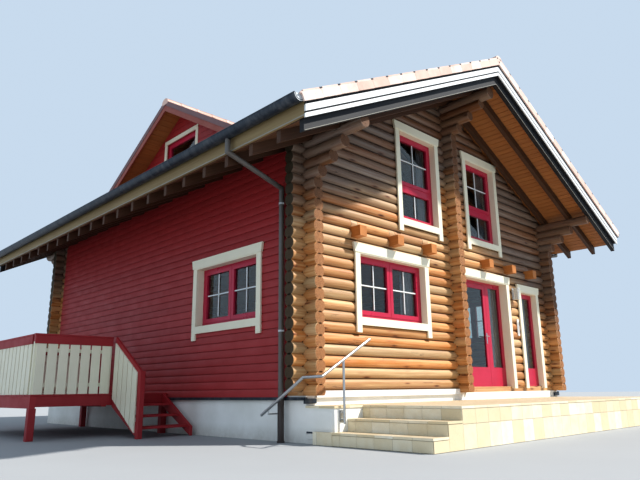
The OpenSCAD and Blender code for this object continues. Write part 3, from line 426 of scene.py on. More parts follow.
class Piece:
    """Corners and faces of one piece of the scene while it is built up."""

    def __init__(self, name, slot, finishes, body="house", replaces=()):
        self.name, self.slot, self.finishes, self.body, self.replaces = name, slot, finishes, body, replaces
        self.points, self.faces, self.tags, self.smooth, self.grain, self.tones = [], [], [], [], [], []
        self.luck = random.Random(name)

    def add(self, points, faces, along=X, heart=None, tags=None, smooth=None):
        """Adds one part with its grain along a direction and measured from its heart."""
        first, tone = len(self.points), self.luck.random()
        up = Z if abs(along.z) < 0.9 else X
        across = along.cross(up).normalized()
        up = across.cross(along).normalized()
        heart = heart or points[0]
        shift = self.luck.uniform(0.0, 40.0)
        for p in points:
            step = p - heart
            self.grain.append((step.dot(along) + shift, step.dot(across), step.dot(up)))
            self.tones.append(tone)
        self.points += points
        self.faces += [[first + i for i in face] for face in faces]
        self.tags += tags or [0] * len(faces)
        self.smooth += smooth or [False] * len(faces)

    def sweep(self, profile, start, end, right, up, tag=0, smooth=False, grain=None):
        """A closed outline pushed from start to end, with its two ends closed. The grain runs along it,
        or in the direction given."""
        count = len(profile)
        points = [at + right * u + up * v for at in (start, end) for u, v in profile]
        faces = [[i, (i + 1) % count, count + (i + 1) % count, count + i] for i in range(count)]
        faces += [list(range(count))[::-1], list(range(count, 2 * count))]
        middle = [sum(p[k] for p in profile) / count for k in (0, 1)]
        heart = start + right * middle[0] + up * middle[1]
        self.add(points, faces, grain or (end - start).normalized(), heart, [tag] * (count + 2),
                 [smooth] * count + [False] * 2)

    def bar(self, start, end, width, height, up=Z, edge=0.003, tag=0):
        """A straight timber with eased edges between two points on its centre line."""
        along = (end - start).normalized()
        right = along.cross(up).normalized()
        up = right.cross(along).normalized()
        w, h, e = width / 2, height / 2, edge
        outline = [(-w + e, -h), (w - e, -h), (w, -h + e), (w, h - e), (w - e, h), (-w + e, h), (-w, h - e),
                   (-w, -h + e)]
        self.sweep(outline, start, end, right, up, tag)

    def block(self, x0, x1, y0, y1, z0, z1, along="x", edge=0.003, tag=0):
        """A timber or block that lies square, given by its six faces."""
        middle = Vector(((x0 + x1) / 2, (y0 + y1) / 2, (z0 + z1) / 2))
        size = Vector((x1 - x0, y1 - y0, z1 - z0))
        way, wide, high, up = {"x": (X, 1, 2, Z), "y": (Y, 0, 2, Z), "z": (Z, 0, 1, Y)}[along]
        half = way * (size.dot(way) / 2)
        self.bar(middle - half, middle + half, size[wide], size[high], up, edge, tag)

    def tube(self, start, end, radius, sides=16):
        """A round bar or pipe between two points on its centre line."""
        along = (end - start).normalized()
        right = along.cross(Z if abs(along.z) < 0.9 else Y).normalized()
        ring = arc(radius, (2 * math.pi * i / sides for i in range(sides)))
        self.sweep(ring, start, end, right, right.cross(along).normalized(), smooth=True)

    def done(self, sharp=35.0):
        """The finished object with every face turned outwards, riding on its body."""
        mesh = bpy.data.meshes.new(self.name)
        mesh.from_pydata([tuple(p) for p in self.points], [], self.faces)
        grain = mesh.attributes.new("grain", "FLOAT_VECTOR", "POINT")
        grain.data.foreach_set("vector", [c for g in self.grain for c in g])
        mesh.attributes.new("tone", "FLOAT", "POINT").data.foreach_set("value", self.tones)
        for made in self.finishes:
            mesh.materials.append(made)
        mesh.polygons.foreach_set("material_index", self.tags)
        mesh.polygons.foreach_set("use_smooth", self.smooth)
        shape = bmesh.new()
        shape.from_mesh(mesh)
        bmesh.ops.recalc_face_normals(shape, faces=shape.faces[:])
        shape.to_mesh(mesh)
        shape.free()
        mesh.set_sharp_from_angle(angle=math.radians(sharp))
        made = bpy.data.objects.new(self.name, mesh)
        bpy.context.scene.collection.objects.link(made)
        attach(made, self.body)
        if self.replaces:
            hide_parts(*self.replaces)
        return made


def turned_log(piece, along, side, z, start, end, radius=LOG_R, cuts=()):
    """One log from start to end at a place beside and above, with a slight bow and swell, eased ends,
    and cut off by planes given as a point and the direction of what falls away."""
    luck = piece.luck
    across = Y if along == X else X
    sides, length = 20, end - start
    steps = max(2, round(length / 0.40))
    waves = [(luck.uniform(0.5, 1.6), luck.uniform(0.0, 6.3)) for _ in range(3)]
    stations = [(start, -LOG_EASE), (start + 0.006, 0.0)]
    stations += [(start + length * i / steps, 0.0) for i in range(1, steps)]
    stations += [(end - 0.006, 0.0), (end, -LOG_EASE)]
    shape = bmesh.new()
    rings = []
    for s, less in stations:
        bow, lift, swell = (math.sin(f * s + a) for f, a in waves)
        heart = along * s + across * (side + LOG_BOW * bow) + Z * (z + LOG_LIFT * lift)
        turns = (2 * math.pi * (i + 0.5) / sides for i in range(sides))
        outline = arc(radius + less + LOG_SWELL * swell, turns)
        rings.append([shape.verts.new(heart + across * u + Z * v) for u, v in outline])
    for one, two in zip(rings, rings[1:]):
        for i in range(sides):
            j = (i + 1) % sides
            shape.faces.new((one[i], one[j], two[j], two[i])).smooth = True
    shape.faces.new(rings[0][::-1]).material_index = 1
    shape.faces.new(rings[-1]).material_index = 1
    for at, away in cuts:
        loop = cut_edges(shape, at, away)
        if loop:
            for f in bmesh.ops.edgeloop_fill(shape, edges=loop)["faces"]:
                f.material_index = 1
    bmesh.ops.recalc_face_normals(shape, faces=shape.faces[:])
    shape.verts.index_update()
    if shape.faces:
        points, faces = [v.co.copy() for v in shape.verts], [[v.index for v in f.verts] for f in shape.faces]
        piece.add(points, faces, along, along * start + across * side + Z * z,
                  [f.material_index for f in shape.faces], [f.smooth for f in shape.faces])
    shape.free()


def log_round_openings(piece, along, side, z, start, end, openings, cuts=()):
    """A log stopped at each opening, or notched over or under it where only a part is in the way."""
    pieces = [(start, end, [])]
    for x0, x1, z0, z1 in openings:
        if z + LOG_R <= z0 or z - LOG_R >= z1:
            continue
        kept = []
        for a, b, planes in pieces:
            if x1 <= a or x0 >= b:
                kept.append((a, b, planes))
                continue
            if a < x0:
                kept.append((a, x0, planes))
            if z1 < z + LOG_R - 0.02:
                kept.append((max(a, x0), min(b, x1), planes + [(Z * z1, -Z)]))
            if z0 > z - LOG_R + 0.02:
                kept.append((max(a, x0), min(b, x1), planes + [(Z * z0, Z)]))
            if x1 < b:
                kept.append((x1, b, planes))
        pieces = kept
    for a, b, planes in pieces:
        if b - a > 0.02:
            turned_log(piece, along, side, z, a, b, cuts=list(cuts) + planes)


def hole(x, w, z0, z1):
    """Rough opening round a window or door of clear width w."""
    return x - w / 2 - 0.02, x + w / 2 + 0.02, z0 - 0.02, z1 + 0.02


# Clear width, foot and head of the two kinds of window; rough openings of the walls
LOW, HIGH = (1.74, 1.83, 2.86), (1.096, 3.70, 5.396)
FRONT_HOLES = [hole(x, *size) for x, size in ((-1.845, LOW), (1.14, (1.60, 0.70, 2.86)),
                                              (2.905, (0.69, 0.70, 2.76)), (-0.98, HIGH), (1.225, HIGH))]
BACK_HOLES = [hole(x, *size) for x, size in ((-1.845, LOW), (-1.225, HIGH), (1.845, LOW), (1.225, HIGH))]
SIDE_HOLES = [hole(1.86, *LOW)]
JOIST_HOLES = [(x - 0.08, x + 0.08, 3.115, 3.285) for x in (-0.87, -1.835, -2.80, 1.13, 2.055, 2.98)]
# Left and right edge, rod, foot and number of folds of each curtain
CURTAINS = [("low_left", -2.72, -2.40, 2.95, 1.79, 4), ("low_right", -1.34, -0.98, 2.95, 1.79, 4),
            ("upper_left", -0.66, -0.42, 5.46, 3.66, 3), ("upper_right", 1.50, 1.80, 5.40, 3.66, 4),
            ("side_light", 1.44, 2.02, 2.94, 0.74, 6), ("narrow_light", 2.56, 3.24, 2.84, 0.74, 7)]


def both_sides(name, slot, finishes, node):
    """Starts a piece on the left, then its twin on the right, and finishes each once its shape is there."""
    for side, hand in SIDES:
        piece = Piece(hand + name, slot, finishes, replaces=[hand + node])
        yield side, piece
        piece.done()


def gable_walls():
    """The round-log walls of the two ends: full logs up to the eaves and logs cut to the roof above."""
    planes = [(Z * (SOFFIT - 0.001), Vector((side * SLOPE, 0.0, 1.0)).normalized()) for side in (-1, 1)]
    for name, y, openings, nodes in (
            ("front_log_wall", 0.0, FRONT_HOLES, ["front_wall_left", "front_wall_right", "front_gable"]),
            ("back_log_wall", LENGTH, BACK_HOLES, ["back_wall"])):
        piece = Piece(name, "log_pine", LOGS, replaces=nodes)
        piece.block(-WALL_X - 0.1, WALL_X + 0.1, y - 0.06, y + 0.06, PLINTH_TOP, FRONT_FIRST - 0.05)
        for i in range(FRONT_COURSES):
            z = FRONT_FIRST + i * COURSE
            end = min(WALL_X + LOG_END, (SOFFIT - z + LOG_R) / SLOPE)
            if end > 0.1:
                log_round_openings(piece, X, y, z, -end, end, openings + JOIST_HOLES, planes)
        piece.done()


def stacked_logs(courses, extra, step):
    """Height, reach past the wall and cuts of each log in a wall that is staggered with the end walls, the
    lowest half a log and the last few corbels."""
    for i in range(courses):
        corbel = i - (courses - CORBELS)
        over = LOG_END + ((corbel + extra) * step if corbel >= 0 else 0.0)
        yield SIDE_FIRST + i * COURSE, over, [(Z * PLINTH_TOP, -Z)] if i == 0 else []


def side_walls():
    """The log walls under the eaves, with corbels under the purlins, and the ends of the inner wall's logs
    that show in the middle of the front, corbelled out under the ridge."""
    for side, piece in both_sides("_log_wall", "log_pine", LOGS, "_wall"):
        for z, over, cuts in stacked_logs(SIDE_COURSES, 0.4, CORBEL_STEP):
            log_round_openings(piece, Y, side * WALL_X, z, -over, LENGTH + over, SIDE_HOLES, cuts)
    piece = Piece("middle_wall_logs", "log_pine", LOGS, replaces=["middle_wall_ends"])
    for z, over, cuts in stacked_logs(MIDDLE_COURSES, 0.6, RIDGE_CORBEL_STEP):
        turned_log(piece, Y, 0.0, z, -over, 0.0, cuts=cuts)
    piece.done()


def purlins():
    """The three round logs that carry the rafters."""
    for name, x, z, r, over in (("left_purlin", -WALL_X, PURLIN_Z, LOG_R, PURLIN_END),
                                ("right_purlin", WALL_X, PURLIN_Z, LOG_R, PURLIN_END),
                                ("ridge_purlin", 0.0, RIDGE_Z, RIDGE_R, RIDGE_END)):
        piece = Piece(name + "_log", "log_pine", LOGS, replaces=[name])
        turned_log(piece, Y, x, z, -over, LENGTH + over, r)
        piece.done()


def side_boards():
    """Horizontal red boards on the side walls, each 127 mm high with a rebate that throws a dark line."""
    face = [(0.0, 0.0), (0.025, 0.0), (0.025, 0.100), (0.019, 0.112), (0.007, 0.114), (0.007, BOARD_PITCH),
            (0.0, BOARD_PITCH)]
    near, far, low, top = 0.295, 9.105, 0.62, SOFFIT - SLOPE * BOARDED_X
    casing_near, casing_far, casing_foot, casing_head = 0.96, 2.76, 1.80, 2.89
    for side, piece in both_sides("_side_boards", "red_boards", [RED_BOARDS], "_boarding"):
        z = low
        while z < top - 0.02:
            clip = min(1.0, (top - z) / BOARD_PITCH)
            profile = [(u * side, v * clip) for u, v in face]
            beside_window = z + BOARD_PITCH > casing_foot and z < casing_head
            foot = Vector((side * BOARDING_X, 0.0, z))
            for y0, y1 in [(near, casing_near), (casing_far, far)] if beside_window else [(near, far)]:
                piece.sweep(profile, foot + Y * y0, foot + Y * y1, X, Z)
            z += BOARD_PITCH


def soffit_boards():
    """Tongued boards under the roof, 120 mm wide, that run along the house over the rafters."""
    wide, front, back = SOFFIT_PITCH, -1.330, 10.730
    profile = [(0.002, -0.004), (0.005, -0.009), (wide - 0.005, -0.009), (wide - 0.002, -0.004),
               (wide - 0.002, 0.001), (0.002, 0.001)]
    for side, hand in SIDES:
        # the left soffit takes a darker copy of the same boards: painted shade
        piece = Piece(hand + "_soffit_boards", "sawn_timber", [SHADED_CEILING_COPY if side < 0 else CEILING])
        down = Vector((side * math.cos(ROOF_ANGLE), 0.0, -math.sin(ROOF_ANGLE)))
        out = Vector((side * SLOPE, 0.0, 1.0)).normalized()
        for i in range(int(5.055 / abs(down.x) / wide)):
            near = Z * SOFFIT + down * (0.02 + i * wide)
            in_dormer = side < 0 and 0.9 < abs(near.x) < 3.9
            for y0, y1 in [(front, 1.62), (5.68, back)] if in_dormer else [(front, back)]:
                piece.sweep(profile, near + Y * y0, near + Y * y1, down, out)
        piece.done()


def lay_tiles(piece, origin, down, across, rows, pitch, columns, width, wanted, verges):
    """Courses of waved tiles that lap over the course below them. The tiles on the two verges turn down over
    the edge and have a small rim on top, which stops short of the next tile; a dark block in that notch
    is painted shade."""
    out = across.cross(down).normalized()
    if out.z < 0:
        out = -out
    cells, wave, thick, lap = 8, 0.012, 0.020, 0.026
    n = cells + 1
    for row in range(rows):
        top = origin + down * (row * pitch)
        for column in range(columns):
            left = top + across * (column * width)
            if not wanted(left + across * (width / 2) + down * (pitch / 2)):
                continue
            points, faces, smooth = [], [], []
            jitter = piece.luck.uniform(-0.0015, 0.0015)
            for at, lift in ((0.0, -lap), (pitch + 0.02, jitter)):
                for under in (0.0, -thick):
                    for i in range(n):
                        hump = wave * math.cos(4 * math.pi * i / cells)
                        points.append(left + down * at + across * (width * i / cells)
                                      + out * (lift + hump + under - wave))
            for i in range(cells):
                for a, b in ((0, 2 * n), (2 * n, 3 * n), (3 * n, n), (n, 0)):
                    faces.append([a + i, a + i + 1, b + i + 1, b + i])
                    smooth.append(a == 0)
            faces += [[0, 2 * n, 3 * n, n], [n - 1, 2 * n - 1, 4 * n - 1, 3 * n - 1]]
            piece.add(points, faces, down, smooth=smooth + [False, False])
        for edge, turn in ((top, 1), (top + across * (columns * width), -1)) if verges else ():
            for a, b, low, high, begin, stop, tag in (
                    (-0.002, 0.026, -VERGE_DROP, -0.004, 0.0, pitch - 0.004, 0),
                    (-0.002, 0.026, -0.004, 0.020, 0.030, pitch - 0.030, 0),
                    # dark block in the notch: painted shade
                    (-0.001, 0.021, -0.004, 0.020, -0.028, 0.028, 1)):
                flange = [(turn * a, low), (turn * b, low), (turn * b, high), (turn * a, high)]
                near, far = edge + down * begin - out * 0.008, edge + down * stop - out * 0.005
                piece.sweep(flange, near, far, across, out, tag)


def beside_dormer(p):
    """False where the dormer stands on the left roof, so that no tile is laid there."""
    beside = abs(p.y - DORMER_Y)
    return not (DORMER_FRONT - 0.12 < p.x < 0.0 and beside < DORMER_HALF
                and p.z < DORMER_TOP - beside * DORMER_SLOPE)


def ridge_row(name, start, along, right, count, pitch, lap, lifts, foot, nodes=()):
    """Half-round caps in a row on a ridge, each with a collar a little wider at its far end."""
    piece = Piece(name, "roof_tile", [TILE], replaces=nodes)
    for i in range(count):
        near, far = i * pitch, (i + 1) * pitch
        for a, b, grow, lift in ((near, far - lap, 1.0, lifts[0]), (far - lap - 0.010, far, 1.08, lifts[1])):
            half_round = arc(1.0, (math.pi * k / 8 for k in range(9)))
            outline = [(0.115 * grow * u, 0.095 * grow * v + lift) for u, v in half_round]
            outline += [(-0.10, foot), (0.10, foot)]
            piece.sweep(outline, start + along * a, start + along * b, right, Z, smooth=True)
    return piece.done()


def main_roof():
    """Tile courses on both slopes, and the caps on the ridge."""
    length, run = LENGTH + 2 * VERGE, NOSE_X / math.cos(ROOF_ANGLE) - 0.08
    for side, piece in both_sides("_tile_courses", "roof_tile", [TILE, SHADE_DARK_BOARD], "_tiles"):
        down = Vector((side * math.cos(ROOF_ANGLE), 0.0, -math.sin(ROOF_ANGLE)))
        lay_tiles(piece, Vector((0.0, -VERGE, ROOF_TOP)) + down * 0.06, down, Y, TILE_ROWS, run / TILE_ROWS,
                  TILE_COLUMNS, length / TILE_COLUMNS, beside_dormer, True)
    count = round(length / CAP_LENGTH)
    ridge_row("ridge_caps", Vector((0.0, -VERGE, ROOF_TOP)), Y, X, count, length / count, 0.050,
              (-0.055, -0.055), -0.075, ["ridge_tiles"])


def window_bars():
    """White glazing bars, 22 mm wide, on the lights of every window that has them."""
    piece = Piece("window_bars", "white_boards", [WHITE_PAINT])
    low = [((-0.407, 0.333), (1.985, 2.735), 2.375), ((0.407, 0.333), (1.985, 2.735), 2.375)]
    upper = [((0.0, 0.423), (4.47, 5.281), 4.90), ((0.0, 0.423), (3.815, 4.24), None)]

    def bars(place, lights):
        inward = place(0.0, 0.0) - place(0.0, 0.0, 1.0)
        for (centre, half), (z0, z1), cross in lights:
            piece.bar(place(centre, z0), place(centre, z1), 0.022, 0.016, inward)
            if cross:
                piece.bar(place(centre - half, cross), place(centre + half, cross), 0.016, 0.022)

    for x, lights in ((-1.845, low), (-0.98, upper), (1.225, upper)):
        bars(lambda u, z, out=0.0, x=x: Vector((x + u, 0.016 - out, z)), lights)
    for s in (-1, 1):
        bars(lambda u, z, out=0.0, s=s: Vector((s * (WALL_X - 0.016 + out), 1.86 - u, z)), low)
        for x, lights in ((1.845, low), (1.225, upper)):
            bars(lambda u, z, out=0.0, x=s * x: Vector((x + u, LENGTH - 0.016 + out, z)), lights)
    piece.done()


def tiled(piece, x0, x1, y0, y1, z0, z1, faces):
    """Tiles with open joints on a flat bed that faces up or sideways, 292 mm from joint to joint from the
    front and the left, with cut tiles at the far end."""
    spans = [[x0, x1], [y0, y1], [z0, z1]]
    thin = "xyz".index(faces)
    cuts = []
    for axis, (a, b) in enumerate(spans):
        count = 1 if axis == thin or b - a < 0.35 else math.ceil((b - a) / TILE_PITCH - 0.05)
        cuts.append([a + n * TILE_PITCH for n in range(count)] + [b])
    bed = [v for a, b in spans for v in (a + 0.003, b - 0.003)]
    piece.block(*bed, "x", 0.0005, 1)
    for i, j, k in itertools.product(*(range(len(c) - 1) for c in cuts)):
        sides = []
        for axis, n in enumerate((i, j, k)):
            gap = 0.0 if axis == thin else 0.002
            sides += [cuts[axis][n] + gap, cuts[axis][n + 1] - gap]
        piece.block(*sides, "y" if faces == "x" else "x", 0.0025)


def terrace_and_steps():
    """White masonry under a tiled ledge and terrace, and two tiled steps at its left end."""
    ledge, front, landing, top = -0.650, -2.250, -3.336, 0.504
    body = Piece("terrace_masonry", "white_plaster", [PLASTER], replaces=["front_terrace"])
    outline = [(-PLINTH_X, -PLINTH_Y), (-PLINTH_X, ledge), (landing, ledge), (landing, front),
               (PLINTH_X, front), (PLINTH_X, -PLINTH_Y)]
    body.sweep(outline, Z * 0.0, Z * (top - 0.028), X, Y)
    body.done()
    tiles = Piece("terrace_tiles", "stone_tile", [STONE, MORTAR])
    right, bed, below = PLINTH_X + TILE_NOSE, top - TILE_BED, top - 0.032
    tiled(tiles, -PLINTH_X - TILE_NOSE, right, ledge - TILE_NOSE, -PLINTH_Y, bed, top, "z")
    tiled(tiles, landing - TILE_NOSE, right, front - TILE_NOSE, ledge - TILE_NOSE, bed, top, "z")
    tiled(tiles, landing, PLINTH_X, front - TILE_THICK, front, 0.0, below, "y")
    tiled(tiles, PLINTH_X, PLINTH_X + TILE_THICK, front, -PLINTH_Y, 0.0, below, "x")
    tiled(tiles, landing - TILE_THICK, landing, front, ledge, 0.306, below, "x")
    tiles.done()
    steps = Piece("step_tiles", "stone_tile", [STONE, MORTAR], replaces=["front_steps"])
    for k in (1, 2):
        x0, x1, z1 = landing - k * TREAD, landing - (k - 1) * TREAD, top - k * RISER
        bed, below = z1 - TILE_BED, z1 - 0.032
        steps.block(x0, x1, front, ledge, 0.0, bed, "y", 0.001, 1)
        tiled(steps, x0 - TILE_NOSE, x1 - TILE_THICK, front - TILE_NOSE, ledge, bed, z1, "z")
        tiled(steps, x0 - TILE_THICK, x0, front, ledge, 0.0 if k == 2 else 0.138, below, "x")
        tiled(steps, x0, x1, front - TILE_THICK, front, 0.0, below, "y")
    tiled(steps, landing - 0.625, -PLINTH_X, ledge, -0.280, 0.0, RISER, "z")
    steps.done()


def gutter_runs():
    """Half-round gutters with a rolled front edge, end caps and a bracket at every rafter."""
    r = GUTTER_R
    bend = [math.pi * (1.0 + k / 14) for k in range(15)]

    def skin(outer, inner):
        return arc(outer, bend) + arc(inner, bend[::-1])

    for side, piece in both_sides("_gutter_run", "grey_metal", [METAL, PALE_METAL], "_gutter"):
        centre = Vector((side * (EAVE_X + r), 0.0, SLAB_TOP - SLOPE * EAVE_X + 0.003))
        start, end = centre + Y * (0.03 - VERGE), centre + Y * (LENGTH + VERGE - 0.03)
        out = X * side
        piece.sweep(skin(r, r - 0.003), start, end, out, Z, smooth=True)
        piece.tube(start + out * (r - 0.002), end + out * (r - 0.002), 0.009, 10)
        for at, step in ((start, Y * 0.002), (end, Y * -0.002)):
            piece.sweep(arc(r - 0.001, bend), at, at + step, out, Z, 1)
            piece.sweep(skin(r - 0.016, r - 0.024), at, at - step * 1.5, out, Z)
        for k in range(21):
            middle = centre + Y * (FIRST_RAFTER + k * RAFTER_PITCH)
            piece.sweep(skin(r + 0.003, r - 0.001), middle - Y * 0.012, middle + Y * 0.012, out, Z)


def eaves_and_verges():
    """Strips along the roof's edges: the fascia's grey lower edge and a pale strip at the lower edge of the
    barge rafters, a painted highlight, and the sheet strips that shed the rain at the foot of the walls."""
    strips = Piece("edge_strips", "white_boards", [GREY_EDGE])
    height = RAFTER_Z + 0.010
    for side in (-1, 1):
        x = side * (EAVE_X + 0.004)
        strips.block(x - 0.004, x + 0.004, -1.398, LENGTH + 1.398, 4.057, 4.075, "y", 0.002)
        # pale strip on the barge rafter's lower edge: painted highlight
        for y in (-1.352, LENGTH + 1.352):
            foot = Vector((side * 5.05, y, height - SLOPE * 5.05))
            strips.bar(Vector((0.0, y, height)), foot, 0.010, 0.010)
    strips.done()
    drip = Piece("drip_strips", "grey_metal", [METAL])
    for side in (-1, 1):
        drip.block(*sorted((side * 3.900, side * BOARDED_X)), -0.120, LENGTH + 0.120, 0.575, 0.620, "y")
        for y in (-0.105, LENGTH + 0.105):
            drip.block(*sorted((side * 3.720, side * BOARDED_X)), y - 0.015, y + 0.015, 0.530, 0.600)
    drip.done()


def verge_trims():
    """White boards in two steps down each slope of a gable, on a dark board: painted shade in the gaps."""
    for end, y, outward in (("front", -1.430, -1), ("back", LENGTH + 1.430, 1)):
        piece = Piece(end + "_verge_trim", "white_boards", [WHITE_WOOD, SHADE_DARK_BOARD],
                      replaces=[end + "_verge_boards"])
        for side in (-1, 1):
            down = Vector((side, 0.0, -SLOPE)).normalized()
            # tag 1 is the dark backing board: painted shade in the gaps
            for top, foot, near, tag in ((0.001, 0.273, 0.014, 1), (0.100, 0.194, 0.0, 0),
                                         (0.220, 0.279, 0.006, 0)):
                reach = EAVE_X - 0.006 * tag
                x, drop = side * reach, SLOPE * reach
                board = [(0.0, -foot), (x, -foot - drop), (x, -top - drop), (0.0, -top)]
                base = Vector((0.0, y - outward * near, SLAB_TOP))
                piece.sweep(board, base, base - Y * (outward * (0.028 - near)), X, Z, tag, grain=down)
        piece.done()


def rain_pipes():
    """Clamps that hold the rain pipes to the wall, and the wide cast feet that they stand in."""
    y = PIPE_Y
    for side, hand in SIDES:
        x = side * PIPE_X
        clamps = Piece(hand + "_pipe_clamps", "grey_metal", [PALE_METAL])
        for z in (3.540, 1.570):
            clamps.tube(Vector((x, y, z - 0.014)), Vector((x, y, z + 0.014)), 0.0445, 20)
            near, far = sorted((x - side * 0.040, side * (BOARDED_X + 0.001)))
            clamps.block(near, far, y - 0.010, y + 0.010, z - 0.010, z + 0.010)
            for turn in (-1, 1):
                ear = sorted((y + turn * 0.040, y + turn * 0.062))
                clamps.block(x - 0.006, x + 0.006, *ear, z - 0.012, z + 0.012, "y")
        clamps.done()
        foot = Piece(hand + "_pipe_foot", "grey_metal", [CAST_BROWN])
        for z0, z1, radius in ((0.0, 0.585, 0.0470), (0.575, 0.605, 0.0520), (0.0, 0.020, 0.0560)):
            foot.tube(Vector((x, y, z0)), Vector((x, y, z1)), radius, 24)
        foot.done()


def deck_timbers():
    """Red stained deck at the left side: boards on beams and joists, and posts."""
    x0, x1, y0, y1, top = DECK
    wood = Piece("deck_timbers", "red_boards", [RED_TIMBER], replaces=["side_deck"])
    pitch, beam, joist, post = (y1 - y0) / DECK_BOARDS, 0.09, 0.060, 0.11
    for i in range(DECK_BOARDS):
        wood.block(x0, x1, y0 + i * pitch + 0.003, y0 + (i + 1) * pitch - 0.003, top - 0.028, top, "x", 0.004)
    for x in (x0, (x0 + x1 - beam) / 2, x1 - beam):
        wood.block(x, x + beam, y0, y1, top - 0.210, top - 0.029, "y", 0.005)
    for y in [y0 + 0.004] + [y0 + 0.5 + 0.5 * k for k in range(6)] + [y1 - 0.064]:
        for a, b in ((x0 + 0.091, (x0 + x1) / 2 - 0.046), ((x0 + x1) / 2 + 0.046, x1 - 0.091)):
            wood.block(a, b, y, y + joist, top - 0.190, top - 0.029, "x", 0.004)
    for x in (x0, x1 - post):
        for y in (y0, y1 - post):
            wood.block(x, x + post, y, y + post, 0.0, top - 0.211, "z", 0.006)
    wood.done()


def railing_run(pale, red, origin, along, inward, length):
    """One side of the railing: posts, two rails, upright boards outside them and a broad top rail."""
    def part(piece, u0, u1, v0, v1, z0, z1, upright=False):
        corner = origin + along * ((u0 + u1) / 2) + inward * ((v0 + v1) / 2)
        if upright:
            piece.bar(corner + Z * z0, corner + Z * z1, u1 - u0, v1 - v0, inward, 0.004)
        else:
            middle, half = corner + Z * (z0 + z1) / 2, along * ((u1 - u0) / 2)
            piece.bar(middle - half, middle + half, v1 - v0, z1 - z0, Z, 0.004)

    post, gap, height = 0.09, 0.03, 0.829
    for u in (0.0, (length - post) / 2, length - post):
        part(pale, u, u + post, 0.001, 0.045, 0.0, height, True)
    for z in (0.120, 0.670):
        part(pale, 0.002, length - 0.002, 0.002, 0.044, z, z + 0.060)
    count = int((length - gap) / 0.18)
    pitch = (length - gap) / count
    for i in range(count):
        part(pale, gap + i * pitch, (i + 1) * pitch, -0.022, 0.0, 0.002, height, True)
    for over, v0, v1, z0, z1 in ((0.0, -0.032, -0.010, 0.800, 0.931), (0.0, -0.008, 0.045, 0.830, 0.931),
                                 (0.004, -0.032, 0.055, 0.932, 0.960)):
        part(red, -over, length + over, v0, v1, z0, z1)


def deck_railing():
    """The railing on the deck's three free sides."""
    x0, x1, y0, y1, top = DECK
    pale = Piece("railing_boards", "white_boards", [CREAM], replaces=["deck_railing"])
    red = Piece("railing_tops", "red_boards", [RED_TIMBER])
    for x, y, along, inward, length in ((x0, y0 + 0.040, X, Y, 1.300), (x0 + 0.040, y1 - 0.180, -Y, X, 3.220),
                                        (x1 - 0.001, y1 - 0.040, -X, -Y, 2.399)):
        railing_run(pale, red, Vector((x, y, top)), along, inward, length)
    pale.done()
    red.done()


def deck_stair():
    """Strings, three treads, a newel and a leaning rail with boards below it."""
    x1, y0, top = DECK[1] - 0.060, DECK[2], DECK[4]
    x0, foot, half_rise = x1 - 1.0, y0 - 0.98, top / 8
    lean = (top - half_rise) / (y0 - foot)
    near = y0 - 0.001
    red = Piece("deck_stair_timbers", "red_boards", [RED_TIMBER], replaces=["deck_stair"])
    string = [(foot, 0.0), (near, top - 0.210), (near, top), (foot, half_rise + 0.060)]
    for x in (x0, x1 - 0.05):
        red.sweep(string, X * x, X * (x + 0.05), Y, Z)
    for k in (1, 2, 3):
        tread, nosing = top - k * top / 4, y0 - (k + 0.1) * 0.28
        red.block(x0 + 0.045, x1 - 0.045, nosing, nosing + 0.298, tread - 0.040, tread, "x", 0.005)
    red.block(x0 - 0.003, x0 + 0.083, foot - 0.003, foot + 0.083, 0.0, half_rise + 0.963, "z", 0.005)
    low, high = half_rise + 0.960, top + 0.960
    rail = [(foot, low - 0.130), (near, high - 0.130), (near, high), (foot, low)]
    red.sweep(rail, X * x0, X * (x0 + 0.04), Y, Z)
    red.done()
    pale = Piece("stair_railing_boards", "white_boards", [CREAM])
    for k in range(5):
        a = foot + 0.100 + k * 0.172
        b = a + 0.150
        low, high = (half_rise + (y - foot) * lean for y in (a, b))
        pale.sweep([(a, low - 0.060), (b, high - 0.060), (b, high + 0.880), (a, low + 0.880)],
                   X * (x0 - 0.022), X * (x0 - 0.001), Y, Z, grain=Z)
    pale.done()


def dormer_front():
    """Red boards round the dormer's window, and the cream trim of the window."""
    red = Piece("dormer_boards", "red_boards", [RED_BOARDS])
    face, under = DORMER_FRONT, DORMER_TOP - DORMER_THICK - 0.002
    z = SLAB_TOP + 0.085 + SLOPE * face
    y0, y1, z0, z1 = DORMER_Y - 0.64, DORMER_Y + 0.64, DORMER_SILL - 0.09, DORMER_SILL + 0.71
    while z < under - 0.02:
        top = min(z + BOARD_PITCH - 0.006, under - 0.004)
        low, high = (min(DORMER_HALF, (under - level) / DORMER_SLOPE) for level in (z, top))
        whole = [(DORMER_Y - low, DORMER_Y + low, DORMER_Y + high, DORMER_Y - high)]
        halves = [(DORMER_Y - low, y0, y0, DORMER_Y - high), (y1, DORMER_Y + low, DORMER_Y + high, y1)]
        for a, b, c, d in halves if top > z0 and z < z1 else whole:
            if b - a > 0.03 and c - d > 0.03:
                red.sweep([(a, z), (b, z), (c, top), (d, top)], X * (face - 0.018), X * (face - 0.001), Y, Z)
        z += BOARD_PITCH
    red.done()
    trim = Piece("dormer_trim", "cream_trim", [CREAM])
    for a, b, c, d, along in ((y0, y1, z1 - 0.09, z1, "y"), (y0, y1, z0, z0 + 0.09, "y"),
                              (y0, y0 + 0.09, z0 + 0.091, z1 - 0.091, "z"),
                              (y1 - 0.09, y1, z0 + 0.091, z1 - 0.091, "z")):
        trim.block(face - 0.026, face - 0.001, a, b, c, d, along)
    trim.done()


